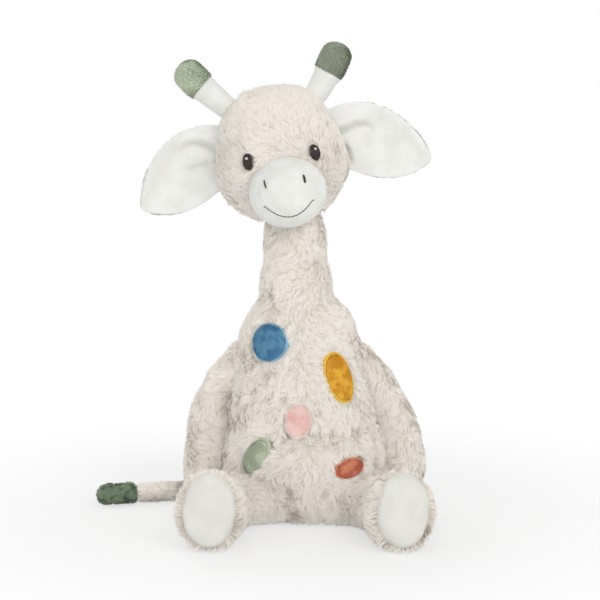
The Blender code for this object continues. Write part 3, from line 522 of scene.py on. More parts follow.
body_form = form("body_skin", "body_filling", "base_panel", "bean_pouch")
neck_form = form("neck_skin", "neck_filling")
grid_x, grid_y, grid_z = body_form.places()
heights, middles, widths, depths = np.array(YOKE).T
middle, width, depth = (np.interp(grid_z, heights, values) for values in (middles, widths, depths))
yoke_field = np.sqrt(((grid_x - middle) / width) ** 2 + (grid_y / depth) ** 2) - 1
yoke_field = yoke_field * np.minimum(width, depth)
yoke_ends = np.abs(grid_z - (heights[0] + heights[-1]) / 2) - (heights[-1] - heights[0]) / 2
yoke_form = body_form.shaped(np.minimum(np.maximum(yoke_field, yoke_ends), REACH))
skin_form = joined(joined(body_form, neck_form, NECK_FLARE), yoke_form, NECK_FLARE)
arm_forms = {}
leg_forms = {}
for side, sign in SIDES.items():
    over = (sign * grid_x - SHOULDER_TOP[0]) * SHOULDER_SLOPE[0]
    over = over + (grid_z - SHOULDER_TOP[1]) * SHOULDER_SLOPE[1]
    whole_arm = rounded(form("arm_skin_" + side, "arm_filling_" + side), ARM_ROUNDED)
    arm_forms[side] = cut(whole_arm, over + 0 * whole_arm.field, ARM_CUT)
    whole_leg = filled(form("leg_skin_" + side, "leg_filling_" + side, "sole_" + side), LEG_CLOSE)
    leg_forms[side] = rounded(whole_leg, LEG_ROUNDED)
    flare = SHOULDER_FLARE * fade(*SHOULDER_HEIGHTS, grid_z)
    skin_form = rooted(skin_form, arm_forms[side], flare, flare / 4)
    flare = LAP_FLARE * fade(*LAP_HEIGHTS, grid_z)
    skin_form = rooted(skin_form, leg_forms[side], flare, flare / 4)
head_form = form("head_skin", "head_filling")
muzzle_form = form("muzzle", "muzzle_filling")


def slack(size, depth, seed):
    """Shallow dents and swells, as loose stuffing leaves them."""
    return lambda points, normals: normals * (ripple(points, size, seed) * depth)[:, None]


def off_floor(clear):
    """Lifts what is lower than clear."""
    return lambda points, normals: np.outer(np.clip(clear - points[:, 2], 0, None), [0, 0, 1])


def neck_creases(points, normals):
    deep = np.zeros(len(points))
    for height, depth, width in NECK_FOLDS:
        line = height + 0.002 * ripple(points, 0.06, 5)
        away = (points[:, 2] - line) / width
        deep += depth * (np.exp(-(away**2)) - 0.5 * np.exp(-((np.abs(away) - 2) ** 2)))
    return -normals * deep[:, None]


skin = cloth("body_backing", skin_form, backing, BODY_PILE["height"])
for move in (slack(0.045, 0.0008, 3), neck_creases, off_floor(FLOOR_CLEAR)):
    push(skin, move)


def skin_lay(at, up):
    """Down, and outward from the belly's middle line."""
    return flow(at, at[:, 0] / 0.09, 0.15, -1)


def lifted(at, up):
    """Normals that don't turn under beside the floor, so that the pile there hangs down over the edge."""
    up = up.copy()
    low = (at[:, 2] < LIFTED_HEIGHT) & (up[:, 2] > FACING_DOWN)
    up[low, 2] = np.maximum(up[low, 2], -0.15)
    return unit(up)


class Outline:
    """The edge of a sewn-on oval, seen along its own middle normal."""

    STEPS = 72

    def __init__(self, node, softened=3):
        mesh = frame["nodes"][node].data
        points = read(mesh.vertices, "co", 3)
        self.middle = points.mean(axis=0)
        axes = np.linalg.svd(points - self.middle, full_matrices=False)[2]
        self.normal = axes[2] * (1 if axes[2] @ OUTWARD > 0 else -1)
        self.right = unit(np.cross([0, 0, 1], self.normal))
        self.up = np.cross(self.normal, self.right)
        along, high = self.spread(points)
        self.turns = np.arange(self.STEPS) * 2 * math.pi / self.STEPS
        ways = np.stack([np.cos(self.turns), np.sin(self.turns)])
        reach = along[:, None] * ways[0] + high[:, None] * ways[1]
        self.radii = self.radius_from(reach.max(axis=0))
        for _ in range(softened):
            self.radii = (np.roll(self.radii, 1) + 2 * self.radii + np.roll(self.radii, -1)) / 4

    def radius_from(self, support):
        """The edge's distance at each turn, from how far the oval reaches each way."""
        step = self.turns[1]
        lean = (np.roll(support, -1) - np.roll(support, 1)) / (2 * step)
        at = np.arctan2(support * np.sin(self.turns) + lean * np.cos(self.turns),
                        support * np.cos(self.turns) - lean * np.sin(self.turns))
        size = np.hypot(support, lean)
        order = np.argsort(at % (2 * math.pi))
        return np.interp(self.turns, (at % (2 * math.pi))[order], size[order], period=2 * math.pi)

    def radius(self, turn):
        return np.interp(turn % (2 * math.pi), self.turns, self.radii, period=2 * math.pi)

    def spread(self, points):
        """How far points are to the right of the middle and above it."""
        return (points - self.middle) @ self.right, (points - self.middle) @ self.up

    def beyond(self, points):
        """How far points are outside the edge, and less than 0 inside it."""
        along, high = self.spread(points)
        far = np.abs((points - self.middle) @ self.normal) > 0.02
        return np.where(far, 1.0, np.hypot(along, high) - self.radius(np.arctan2(high, along)))


OUTWARD = np.array([0, -1, 0])
SPOTS = ("blue", "yellow", "pink", "green", "red")
SPOT_TRIM = (-0.0002, -0.0006, -0.0012)  # how far past a spot's edge a lock's root, bend and tip may reach
spot_edges = {colour: Outline("spot_" + colour) for colour in SPOTS}

skin_at, skin_up, skin_area = sown(skin, BODY_LOCKS, 11)
hem_at, hem_up, _ = sown(skin, BODY_LOCKS, 16)
hem = (hem_at[:, 2] < HEM) & (hem_up[:, 2] > -0.75)
skin_at, skin_up = np.concatenate([skin_at, hem_at[hem]]), np.concatenate([skin_up, hem_up[hem]])
hidden = head_form.at(skin_at) < BURIED_IN_HEAD
hidden |= (skin_up[:, 2] < FACING_DOWN) & (skin_at[:, 2] < SEAT_HEIGHT)
skin_up = lifted(skin_at, skin_up)
for side in SIDES:
    hidden |= (arm_forms[side].at(skin_at) < BURIED) | (leg_forms[side].at(skin_at) < BURIED)
locks = comb(skin_at[~hidden], skin_up[~hidden], skin_area, skin_lay, BODY_PILE, 12, unruly=1.25)
locks = kept(locks, clear_of(locks, spot_edges.values(), SPOT_TRIM))
NECK_BENDS = (0.022, 0.014)  # how far under and over the neck's joint; the first parts the neck's pile from the body's, and the second is not used
NECK_START = Vector(PIVOTS["neck_bend"] - (0, 0, NECK_BENDS[0]))
on_neck = locks["lines"][:, 0, 2] > NECK_START.z
in_front = locks["lines"][:, 0, 1] < 0
belly_pile = pile("belly_pile", kept(locks, ~on_neck & in_front), fur, BODY_PILE, 13)
back_pile = pile("back_pile", kept(locks, ~on_neck & ~in_front), fur, BODY_PILE, 15)
neck_pile = pile("neck_pile", kept(locks, on_neck), fur, BODY_PILE, 14)
for hair in (belly_pile, back_pile):
    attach(hair, "body")
for thing in (skin, neck_pile):
    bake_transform(thing)
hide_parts("body_skin", "body_filling", "bean_pouch", "neck_skin", "neck_filling")


def outside(node):
    """A solid's own net, with its triangles joined to quads."""
    net = bmesh.new()
    net.from_mesh(frame["nodes"][node].data)
    bmesh.ops.remove_doubles(net, verts=net.verts, dist=0.00001)
    bmesh.ops.join_triangles(
        net, faces=net.faces, angle_face_threshold=math.radians(30), angle_shape_threshold=math.radians(50)
    )
    net.normal_update()
    return net


def sewn(name, net, dye, rounds):
    """A smooth object of a net of quads."""
    data = bpy.data.meshes.new(name)
    net.to_mesh(data)
    net.free()
    thing = place(name, data)
    soften = thing.modifiers.new("Soften", "SUBSURF")
    soften.levels = soften.render_levels = rounds
    settle(thing, dye)
    return thing


# Base panel
# The oval that closes the bag underneath. It is plain short cloth of the fur's colour, and it lies flat on
# the floor inside the turned-in edge of the body's skin.
panel = sewn("seat_panel", outside("base_panel"), backing, 0)
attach(panel, "body")
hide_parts("base_panel")

# Head
# A ball of shorter, smoother pile, rolled a little towards its own right. The pile is combed away from the
# muzzle, and it is trimmed round the stitched eyes.
HEAD_ROLL = math.radians(8)
HEAD_LOCKS = 50000
HEAD_PILE = {"length": 0.0062, "height": 0.0024, "width": 0.00074, "tuft": 0.0044}
head_space = Matrix.Translation(PIVOTS["head_tilt"]) @ Matrix.Rotation(HEAD_ROLL, 4, "Y")
EYE_TRIM = 0.0007 * np.array([1, 0.6, 0.3])  # how far a lock's root, bend and tip stay from an eye


def in_head(points):
    """Points in the upright head's own frame."""
    back = np.array(head_space.inverted())
    return points @ back[:3, :3].T + back[:3, 3]


def head_lay(at, up):
    """Away from the muzzle in front, and down behind."""
    own = in_head(at)
    way = own - np.array([0, -0.060, 0.046])
    way[:, 2] -= np.clip(own[:, 1] + 0.01, 0, None) * 2.5
    return way @ np.array(head_space)[:3, :3].T


head_cloth = cloth("head_backing", head_form, backing, HEAD_PILE["height"])
push(head_cloth, slack(0.04, 0.0005, 6))
head_at, head_up, head_area = sown(head_cloth, HEAD_LOCKS, 31)
hidden = (skin_form.at(head_at) < BURIED) | (muzzle_form.at(head_at + head_up * HEAD_PILE["height"]) < 0.0002)
locks = comb(head_at[~hidden], head_up[~hidden], head_area, head_lay, HEAD_PILE, 32, unruly=0.95, gather=0.32)
clear = clear_of(locks, [Outline("eye_" + side) for side in SIDES], EYE_TRIM)
head_pile = pile("head_pile", kept(locks, clear), fur, HEAD_PILE, 33)
for thing in (head_cloth, head_pile):
    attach(thing, "head")
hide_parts("head_skin", "head_filling")

# Muzzle
# A dome of short white velour, sewn on the face and stuffed firmly, so that it is smooth and only its nap
# shows.
VELOUR = (0.860, 0.860, 0.830)
VELOUR_SHADOW = (0.800, 0.800, 0.760)
MUZZLE_FULL = 0.0008  # how far the stuffing fills it out


def velour_dye(name, colour, shadow, nap=0.0011, depth=0.00012):
    """Short velour: a fine nap, and slow patches where the nap lies the other way."""
    dye = Dye(name, roughness=0.85, sheen=0.30, sheen_roughness=0.35)
    fine = dye.noise(nap, detail=3.0)
    swept = dye.noise(0.018, detail=2.0).between(0.35, 0.68)
    tone = (0.75 * swept + 0.25 * fine).between(0.05, 0.85)
    return dye.feed(colour=tone.mix(shadow, colour), normal=dye.bump(fine, depth, 0.7))


white_velour = velour_dye("white_velour", VELOUR, VELOUR_SHADOW)
muzzle = cloth("muzzle_cloth", muzzle_form, white_velour, -MUZZLE_FULL)
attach(muzzle, "head")
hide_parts("muzzle", "muzzle_filling")

# Eyes and nostrils
# Satin stitch in dark brown thread: threads side by side that run up and down over the pile. Each eye has a
# small light glint above its middle.
THREAD = 0.00046
THREAD_SIDES = 6
NOSTRIL_LEAN = {"left": 0.0, "right": -0.55}


def threads(name, lines, radius, dye):
    """Round threads along lines of points, as one mesh."""
    net = bmesh.new()
    for line in lines:
        rings = []
        for k, point in enumerate(line):
            ahead = (line[min(k + 1, len(line) - 1)] - line[max(k - 1, 0)]).normalized()
            side = ahead.cross(Vector((0.31, -0.92, 0.24))).normalized()
            up = side.cross(ahead)
            share = k / (len(line) - 1)
            size = radius * (0.35 + 0.65 * math.sin(math.pi * min(1, max(0, 0.06 + 0.88 * share))) ** 0.35)
            ring = []
            for j in range(THREAD_SIDES):
                turn = 2 * math.pi * j / THREAD_SIDES
                ring.append(net.verts.new(point + side * math.cos(turn) * size + up * math.sin(turn) * size))
            rings.append(ring)
        for low, high in zip(rings, rings[1:]):
            for j in range(THREAD_SIDES):
                after = (j + 1) % THREAD_SIDES
                net.faces.new([low[j], low[after], high[after], high[j]])
        net.faces.new(reversed(rings[0]))
        net.faces.new(rings[-1])
    bmesh.ops.recalc_face_normals(net, faces=net.faces)
    data = bpy.data.meshes.new(name)
    net.to_mesh(data)
    net.free()
    data.shade_smooth()
    return place(name, data, dye)


def thread_dye(name, colour, light):
    dye = Dye(name, roughness=0.42, shine=0.5)
    twist = dye.noise(0.0007, detail=1.0).between(0.3, 0.75)
    return dye.feed(colour=twist.mix(colour, light), normal=dye.bump(twist, 0.0001))


def satin(node, dye, base, crown, host, ragged=0.0, reach=0.0, slim=1.0, lean=0.0):
    """Threads side by side over an oval, from its lower to its upper edge, on top of their host's surface."""
    edge = Outline(node)
    chance = np.random.default_rng(41)
    turns = np.linspace(0, 2 * math.pi, 720)
    rim = edge.radius(turns)
    across, high = rim * np.cos(turns), rim * np.sin(turns)
    wide = across.max() - across.min()
    count = max(3, round(wide / THREAD))
    lines = []
    for k in range(count):
        x = across.min() + wide * (k + 0.5) / count
        column = np.abs(across - x) < wide / count
        low, top = high[column].min(), high[column].max()
        low -= ragged * chance.random() ** 2 + reach
        top += reach
        line = []
        for j in range(9):
            share = j / 8
            aside, above = x * slim + lean * (top - low) * (share - 0.5), low + (top - low) * share
            point = edge.middle + edge.right * aside + edge.up * above - edge.normal * 0.02
            hit = host.ray_cast(Vector(point + edge.normal * 0.04), -Vector(edge.normal))[0]
            point = Vector(point) if hit is None else hit
            line.append(point + Vector(edge.normal) * (base + crown * math.sin(math.pi * share)))
        lines.append(line)
    return threads(node + "_stitched", lines, THREAD * 0.62, dye)


def solid_tree(thing):
    net = bmesh.new()
    net.from_mesh(thing.data)
    tree = BVHTree.FromBMesh(net)
    net.free()
    return tree


brown_thread = thread_dye("brown_thread", (0.022, 0.011, 0.008), (0.060, 0.034, 0.026))
white_thread = thread_dye("white_thread", (0.80, 0.80, 0.80), (0.90, 0.90, 0.90))
head_tree = solid_tree(head_cloth)
muzzle_tree = solid_tree(muzzle)
for side in SIDES:
    slit = {"reach": 0.0008, "slim": 0.7, "lean": NOSTRIL_LEAN[side]}
    for node, dye, slot, host, base, crown, shape in (
        ("eye_", brown_thread, "eye", head_tree, HEAD_PILE["height"], 0.0010, {"ragged": 0.0012}),
        ("glint_", white_thread, "glint", head_tree, HEAD_PILE["height"] + 0.0009, 0.0006, {}),
        ("nostril_", brown_thread, "eye", muzzle_tree, 0.0001, 0.0004, slit),
    ):
        stitched = satin(node + side, dye, base, crown, host, **shape)
        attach(stitched, "head")
        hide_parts(node + side)

# Mouth
# A curved line of back stitch in the same thread, drawn into the velour.
STITCH_LENGTH = 0.0030
STITCH_GAP = 0.0001
STITCH_RADIUS = 0.00044


def along(points, length, gap):
    """Short runs of a line of points, length long with gap between them."""
    gone = [0.0]
    for a, b in zip(points, points[1:]):
        gone.append(gone[-1] + (b - a).length)

    def point_at(distance):
        k = max(i for i in range(len(gone) - 1) if gone[i] <= distance)
        return points[k].lerp(points[k + 1], min(1, (distance - gone[k]) / (gone[k + 1] - gone[k])))

    runs = []
    start = 0.0
    while start + length / 2 < gone[-1]:
        end = min(start + length, gone[-1] - 1e-7)
        runs.append([point_at(start + (end - start) * k / 5) for k in range(6)])
        start += length + gap
    return runs


mouth_low, mouth_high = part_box("mouth")
mouth_net = outside("mouth")
mouth_tree = BVHTree.FromBMesh(mouth_net)
mouth_net.free()
mouth_line = []
for k in range(49):
    x = mouth_low.x + (mouth_high.x - mouth_low.x) * (0.004 + 0.992 * k / 48)
    found = []
    for j in range(121):
        z = mouth_low.z + (mouth_high.z - mouth_low.z) * j / 120
        hit = mouth_tree.ray_cast(Vector((x, mouth_low.y - 0.01, z)), Vector((0, 1, 0)))[0]
        if hit:
            found.append(hit)
    if found:
        middle = sum(found, Vector()) / len(found)
        on_cloth = muzzle_tree.ray_cast(middle - Vector((0, 0.01, 0)), Vector((0, 1, 0)))[0]
        mouth_line.append((on_cloth or middle) - Vector((0, 0.0001, 0)))
mouth = threads("mouth_stitched", along(mouth_line, STITCH_LENGTH, STITCH_GAP), STITCH_RADIUS, brown_thread)
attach(mouth, "head")
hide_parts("mouth")

# Ears
# Two sheets each: white velour in front and the long pile behind, sewn edge to edge, turned, and folded
# where they go into the head's seam, so soft creases run out from the root.
EAR_CREASES = {
    "left": (
        ((0.0300, 0.3262), (0.0350, 0.3284), (0.0454, 0.3327), (0.0540, 0.3330), (0.0610, 0.3300)),
        ((0.0342, 0.3155), (0.0377, 0.3120), (0.0421, 0.2982)),
    ),
    "right": (
        ((-0.0690, 0.3120), (-0.0773, 0.3146), (-0.0859, 0.3168), (-0.0928, 0.3163), (-0.0980, 0.3137),
         (-0.1015, 0.3080)),
        ((-0.0800, 0.2990), (-0.0860, 0.2964), (-0.0942, 0.2936), (-0.1034, 0.2933)),
    ),
}
EAR_CREASE = {"depth": 0.0076, "width": 0.0026, "swell": 0.0044}
INTO_HEAD = 0.006
NEAR_HEAD = (0.0068, 0.0040)  # how near the head an edge starts to be carried in, and is carried in fully
EAR_CREASE_SHARES = (1.0, 0.7)  # how deep the upper and the lower crease are
EAR_LOCKS = 13000
EAR_PILE = {"length": 0.0052, "height": 0.0012, "width": 0.00074, "tuft": 0.0042}


def crease_offset(points, line):
    """How far points are from a line drawn on the ear, on which side, and how near its ends."""
    nearest = np.full(len(points), 1.0)
    side = np.zeros(len(points))
    share = np.zeros(len(points))
    line = np.array(line)
    flat = points[:, [0, 2]]
    for k, (a, b) in enumerate(zip(line, line[1:])):
        run = b - a
        along = np.clip((flat - a) @ run / (run @ run), 0, 1)
        gap = flat - (a + along[:, None] * run)
        far = np.hypot(*gap.T)
        better = far < nearest
        nearest[better] = far[better]
        side[better] = np.sign(run[0] * gap[:, 1] - run[1] * gap[:, 0])[better]
        share[better] = ((k + along) / (len(line) - 1))[better]
    return nearest * side, share


def let_into_head(points, normals):
    """Carries the edge that meets the head on into it."""
    out = np.zeros_like(points)
    for k, point in enumerate(points):
        _, normal, _, far = head_tree.find_nearest(Vector(point))
        out[k] = -np.array(normal) * INTO_HEAD * fade(*NEAR_HEAD, far)
    return out


EAR_OVER = 0.0024  # how far the front sheet comes out over the rear one's edge
EAR_ROUNDED = 11
EAR_BENDS = (0.002, 0.022)  # how far inside and outside an ear's joint two points lie; nothing uses them
ear_backing = backing_dye("ear_backing", (0.890, 0.880, 0.850))
pale_fur = fur_dye("pale_fur", (0.880, 0.845, 0.795), (0.945, 0.920, 0.880))
for side, sign in SIDES.items():
    ear_edge = Outline("ear_back_" + side)
    round_edge = Outline("ear_back_" + side, softened=EAR_ROUNDED)

    def to_edge(points, normals, over=0.0, edge=ear_edge, round_edge=round_edge):
        """Rounds an ear's end, and brings the sheet out over the edge of the other one."""
        out = points - edge.middle
        out -= np.outer(out @ edge.normal, edge.normal)
        beyond = edge.beyond(points)
        grown = over * fade(-0.0085, -0.0030, beyond)
        grown += (beyond - round_edge.beyond(points)) * fade(-0.020, 0, beyond)
        return unit(out) * grown[:, None]

    def ear_creases(points, normals, side=side, sign=sign):
        move = np.zeros(len(points))
        for k, line in enumerate(EAR_CREASES[side]):
            offset, share = crease_offset(points, line)
            fading = np.sin(math.pi * np.clip(0.25 + 0.75 * share, 0, 1)) ** 0.8 * EAR_CREASE_SHARES[k]
            move -= EAR_CREASE["depth"] * fading * np.exp(-((offset / EAR_CREASE["width"]) ** 2))
            ridge = (offset * sign - 2.2 * EAR_CREASE["width"]) / (2.4 * EAR_CREASE["width"])
            move += EAR_CREASE["swell"] * fading * np.exp(-(ridge**2))
        return np.outer(-move, [0, 1, 0])

    ear_low, ear_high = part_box("ear_front_" + side)
    front = sewn("ear_velour_" + side, outside("ear_front_" + side), white_velour, 3)
    push(front, lambda points, normals, to_edge=to_edge: to_edge(points, normals, EAR_OVER))
    for move in (let_into_head, ear_creases, slack(0.03, 0.0005, 51 + sign)):
        push(front, move)
    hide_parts("ear_front_" + side)
    rear = sewn("ear_backing_" + side, outside("ear_back_" + side), ear_backing, 2)
    for move in (to_edge, let_into_head, ear_creases):
        push(rear, move)
    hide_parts("ear_back_" + side)
    at, up, area = sown(rear, EAR_LOCKS, 53 + sign)
    behind = up[:, 1] > 0.20
    middle = (np.array(ear_low) + np.array(ear_high)) / 2

    def ear_lay(at, up, middle=middle, sign=sign):
        """Out from the root, and away from the middle."""
        return (at - middle + [sign * 0.02, 0, 0]) * [1, 0, 1]

    locks = comb(at[behind], up[behind], area, ear_lay, EAR_PILE, 55 + sign)
    inside = round_edge.beyond(locks["lines"][:, 2]) < 0.0002
    hair = pile("ear_pile_" + side, kept(locks, inside), pale_fur, EAR_PILE, 57 + sign)
    ear_root = PIVOTS["ear_flap_" + side]
    outward = unit(ear_edge.middle - ear_root)
    for thing in (front, rear, hair):
        "ear_" + side
        Vector(ear_root - outward * EAR_BENDS[0])
        Vector(ear_root + outward * EAR_BENDS[1])
        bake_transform(thing)

# Horns
# A stalk of white velour and a tip of short green pile, sewn together in a ring and stuffed.
HORN_LIGHT_AND_SHADE = {"left": 0.74, "right": 1.20}  # how much lighter or darker each tip is painted: painted light on the right tip, painted shade on the left one
# The root's green is the darker, as painted shade between the locks, and the tip's the paler.
HORN_GREENS = ((0.280, 0.350, 0.230), (0.620, 0.690, 0.520))
HORN_LOCKS = 9000
HORN_PILE = {"length": 0.0017, "height": 0.0010, "width": 0.00056, "tuft": 0.0016}
HORN_VOXEL = 0.0012
HORN_SEAM = (0.004, 0.0025)  # the flare and the depth where a stalk goes into its tip
FORM_ROOM = 0.012  # the room round a small piece for its grid of distances
horn_backing = backing_dye("horn_backing", (0.30, 0.38, 0.26))
for side, sign in SIDES.items():
    low, high = (np.array(corner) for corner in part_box("horn_tip_" + side))
    foot_low, foot_high = (np.array(corner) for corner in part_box("horn_stalk_" + side))
    axis = unit((low + high) / 2 - PIVOTS["horn_wobble_" + side])
    room = {"voxel": HORN_VOXEL, "low": np.minimum(low, foot_low) - FORM_ROOM,
            "high": np.maximum(high, foot_high) + FORM_ROOM}
    tip_form = form("horn_tip_" + side, **room)
    stalk_form = form("horn_stalk_" + side, **room)
    stalk = cloth("horn_stalk_cloth_" + side, rooted(stalk_form, tip_form, *HORN_SEAM), white_velour)
    push(stalk, let_into_head)
    # The right tip's greens are painted lighter and the left tip's darker, as painted light and shade.
    root_green, tip_green = (tuple(HORN_LIGHT_AND_SHADE[side] * c for c in green) for green in HORN_GREENS)
    horn_green = fur_dye("horn_green_" + side, root_green, tip_green, vary=0.24, patch=0.16)
    tip = cloth("horn_tip_cloth_" + side, tip_form, horn_backing, -0.0002)
    at, up, area = sown(tip, HORN_LOCKS, 61 + sign)
    under = up @ axis < -0.75
    locks = comb(at[~under], up[~under], area, lambda at, up, axis=axis: flow(at, *axis), HORN_PILE,
                 62 + sign, unruly=1.6)
    hair = pile("horn_tip_pile_" + side, locks, horn_green, HORN_PILE, 66 + sign)
    for thing in (stalk, tip, hair):
        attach(thing, "horn_" + side)
    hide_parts("horn_stalk_" + side)
    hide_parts("horn_tip_" + side)

# Arms
# Soft tubes of long pile, sewn into the body's side seams at the shoulder. They hang against the belly, and
# a root that goes into the shoulder keeps each of them joined when it swings out.
ARM_LOCKS = 12000
ARM_INWARD = 0.0024
ARM_DEPTH = 0.0050
ARM_DRAWN_IN = BODY_PILE["height"] - 0.0006
ARM_ROOT = np.array([(-0.0075, 0, -0.004), (0.016, 0, -0.038)])  # its ends, beside the shoulder's joint
ARM_ROOT_SIZES = 0.0080, 0.0130
ARM_ROOT_FLARE = 0.012


def rod(shape, start, end, thin, thick):
    """A round rod on the grid of another shape. It grows from thin to thick."""
    way = end - start
    off = [line - begin for line, begin in zip(shape.places(), start)]
    share = np.clip(sum(part * step for part, step in zip(off, way)) / (way @ way), 0, 1)
    away = np.sqrt(sum((part - share * step) ** 2 for part, step in zip(off, way)))
    return shape.shaped(np.minimum(away - thin - (thick - thin) * share, REACH))


for side, sign in SIDES.items():
    shoulder = PIVOTS["arm_swing_" + side]

    def arm_lay(at, up, sign=sign):
        return flow(at, -sign * 0.25, 0.15, -1)

    def to_side(points, normals, sign=sign):
        """Brings the arm's inner side against the belly."""
        share = fade(0.02, 0.04, points[:, 2]) * fade(0.120, 0.100, points[:, 2])
        return np.outer(-sign * ARM_INWARD * share * np.clip(-sign * normals[:, 0], 0, 1), [1, 0, 0])

    root = rod(body_form, *(shoulder + ARM_ROOT * [sign, 1, 1]), *ARM_ROOT_SIZES)
    arm_form = joined(rooted(arm_forms[side], body_form, SHOULDER_FLARE, ARM_DEPTH), root, ARM_ROOT_FLARE)
    arm = cloth("arm_backing_" + side, arm_form, backing, ARM_DRAWN_IN)
    push(arm, to_side)
    push(arm, slack(0.024, 0.0007, 70 + sign))
    at, up, area = sown(arm, ARM_LOCKS, 71 + sign)
    hidden = body_form.at(at) < BURIED_IN_BODY
    locks = comb(at[~hidden], lifted(at, up)[~hidden], area, arm_lay, BODY_PILE, 72 + sign, unruly=1.35)
    hair = pile("arm_pile_" + side, locks, fur, BODY_PILE, 74 + sign)
    for thing in (arm, hair):
        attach(thing, "arm_" + side)
    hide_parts("arm_skin_" + side, "arm_filling_" + side)

# Legs and soles
# Tubes of long pile that lie on the floor. A flat oval of white velour closes each foot, and the pile round
# its seam stands a little over the edge.
LEG_LOCKS = 19000
LEG_DRAWN_IN = 0.0014
LEG_FLARE = 0.006
LEG_BENDS = (0.004, 0.042)  # how far behind and in front of a leg's joint two points lie; nothing uses them
SEAM_FLUFF = 0.6  # how much higher the pile stands beside the sole
OVAL_RINGS = 26
OVAL_TURNS = 96
OVAL_SLOPE = 0.0014  # how far it may go down from one ring to the next
OVAL_UNEVEN = 0.00014
# The soles' velour is the white velour darkened, as painted shade.
SOLE_SHADED_VELOUR = (0.780, 0.775, 0.725)
SOLE_SHADOW = (0.735, 0.730, 0.680)


def oval(name, node, dye, host, rise, seed):
    """A sheet that lies on its host, from its middle out to a slightly uneven edge."""
    edge = Outline(node)
    chance = np.random.default_rng(seed)
    uneven = sum(chance.normal() * OVAL_UNEVEN * np.sin(n * edge.turns + chance.random() * 6.3)
                 for n in range(2, 12))
    turns = np.arange(OVAL_TURNS) * 2 * math.pi / OVAL_TURNS
    shares = np.arange(OVAL_RINGS + 1) / OVAL_RINGS
    full = edge.radius(turns) + np.interp(turns, edge.turns, uneven, period=2 * math.pi) - 0.0003
    ways = np.outer(np.cos(turns), edge.right) + np.outer(np.sin(turns), edge.up)
    flat = shares[:, None, None] * full[None, :, None] * ways[None] + edge.middle
    high = np.full(flat.shape[:2], 0.012)
    for _ in range(12):
        points = flat + high[:, :, None] * edge.normal
        high -= host.at(points.reshape(-1, 3)).reshape(high.shape)
    for inner, outer in zip(high, high[1:]):
        outer[:] = np.maximum(outer, inner - OVAL_SLOPE)
    for _ in range(3):
        high = (np.roll(high, 1, axis=1) + 2 * high + np.roll(high, -1, axis=1)) / 4
        high[1:-1] = (high[:-2] + 2 * high[1:-1] + high[2:]) / 4
    points = flat + (high + np.array([rise(share) for share in shares])[:, None])[:, :, None] * edge.normal
    net = bmesh.new()
    out_share = net.verts.layers.float_color.new("pile")
    rings = []
    for k, share in enumerate(shares):
        row = [net.verts.new(points[k, step]) for step in range(OVAL_TURNS if k else 1)]
        for vertex in row:
            vertex[out_share] = (share, chance.random(), 0, 1)
        rings.append(row)
    for step in range(OVAL_TURNS):
        after = (step + 1) % OVAL_TURNS
        net.faces.new([rings[0][0], rings[1][step], rings[1][after]])
        for inner, outer in zip(rings[1:], rings[2:]):
            net.faces.new([inner[step], outer[step], outer[after], inner[after]])
    data = bpy.data.meshes.new(name)
    net.to_mesh(data)
    net.free()
    data.shade_smooth()
    return place(name, data, dye)


def sole_rise(share):
    """Crowned by the stuffing, and drawn in at the seam."""
    return 0.0003 + 0.0012 * (1 - share**2) - 0.0030 * max(0, (share - 0.91) / 0.09) ** 2


for side, sign in SIDES.items():
    sole_edge = Outline("sole_" + side)
    toe = sole_edge.middle

    def leg_lay(at, up, toe=toe):
        """Out over the sole's seam, and down the sides behind it."""
        back = at[:, 1] - toe[1]
        out = unit(at - toe) * [1, 0, 1]
        round_seam = out + np.array([0, 0.45, 0])
        down = flow(at, np.where(at[:, 0] > toe[0], 0.35, -0.35), 0.1, -0.8)
        return round_seam + (down - round_seam) * fade(0.008, 0.024, back)[:, None]

    flare = LEG_FLARE + (LAP_FLARE - LEG_FLARE) * fade(*LAP_HEIGHTS, grid_z)
    leg_form = rooted(leg_forms[side], body_form, flare, flare / 4 + 0.002)
    leg = cloth("leg_backing_" + side, leg_form, backing, LEG_DRAWN_IN)
    push(leg, slack(0.026, 0.0007, 80 + sign))
    push(leg, off_floor(FLOOR_CLEAR * FLAT_PILE))
    at, up, area = sown(leg, LEG_LOCKS, 81 + sign)
    in_sole = (sole_edge.beyond(at) < -0.0016) & (up @ sole_edge.normal > 0.6)
    hidden = (body_form.at(at) < BURIED_IN_BODY) | in_sole
    height = BODY_PILE["height"] * (1 + SEAM_FLUFF * fade(0.016, 0.004, at[:, 1] - toe[1]))
    leg_pile = {**BODY_PILE, "height": height[~hidden]}
    locks = comb(at[~hidden], lifted(at, up)[~hidden], area, leg_lay, leg_pile, 82 + sign, unruly=1.2)
    hair = pile("leg_pile_" + side, locks, fur, leg_pile, 84 + sign)
    sole_velour = velour_dye("sole_velour_" + side, SOLE_SHADED_VELOUR, SOLE_SHADOW)
    sole = oval("sole_cloth_" + side, "sole_" + side, sole_velour, leg_forms[side], sole_rise, 88 + sign)
    push(sole, slack(0.022, 0.0004, 86 + sign))
    hip = PIVOTS["leg_lift_" + side]
    along_leg = unit(toe - hip)
    for thing in (leg, hair):
        "leg_" + side
        Vector(hip - along_leg * LEG_BENDS[0])
        Vector(hip + along_leg * LEG_BENDS[1])
        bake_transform(thing)
    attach(sole, "leg_" + side)
    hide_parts("leg_skin_" + side, "leg_filling_" + side)
    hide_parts("sole_" + side)

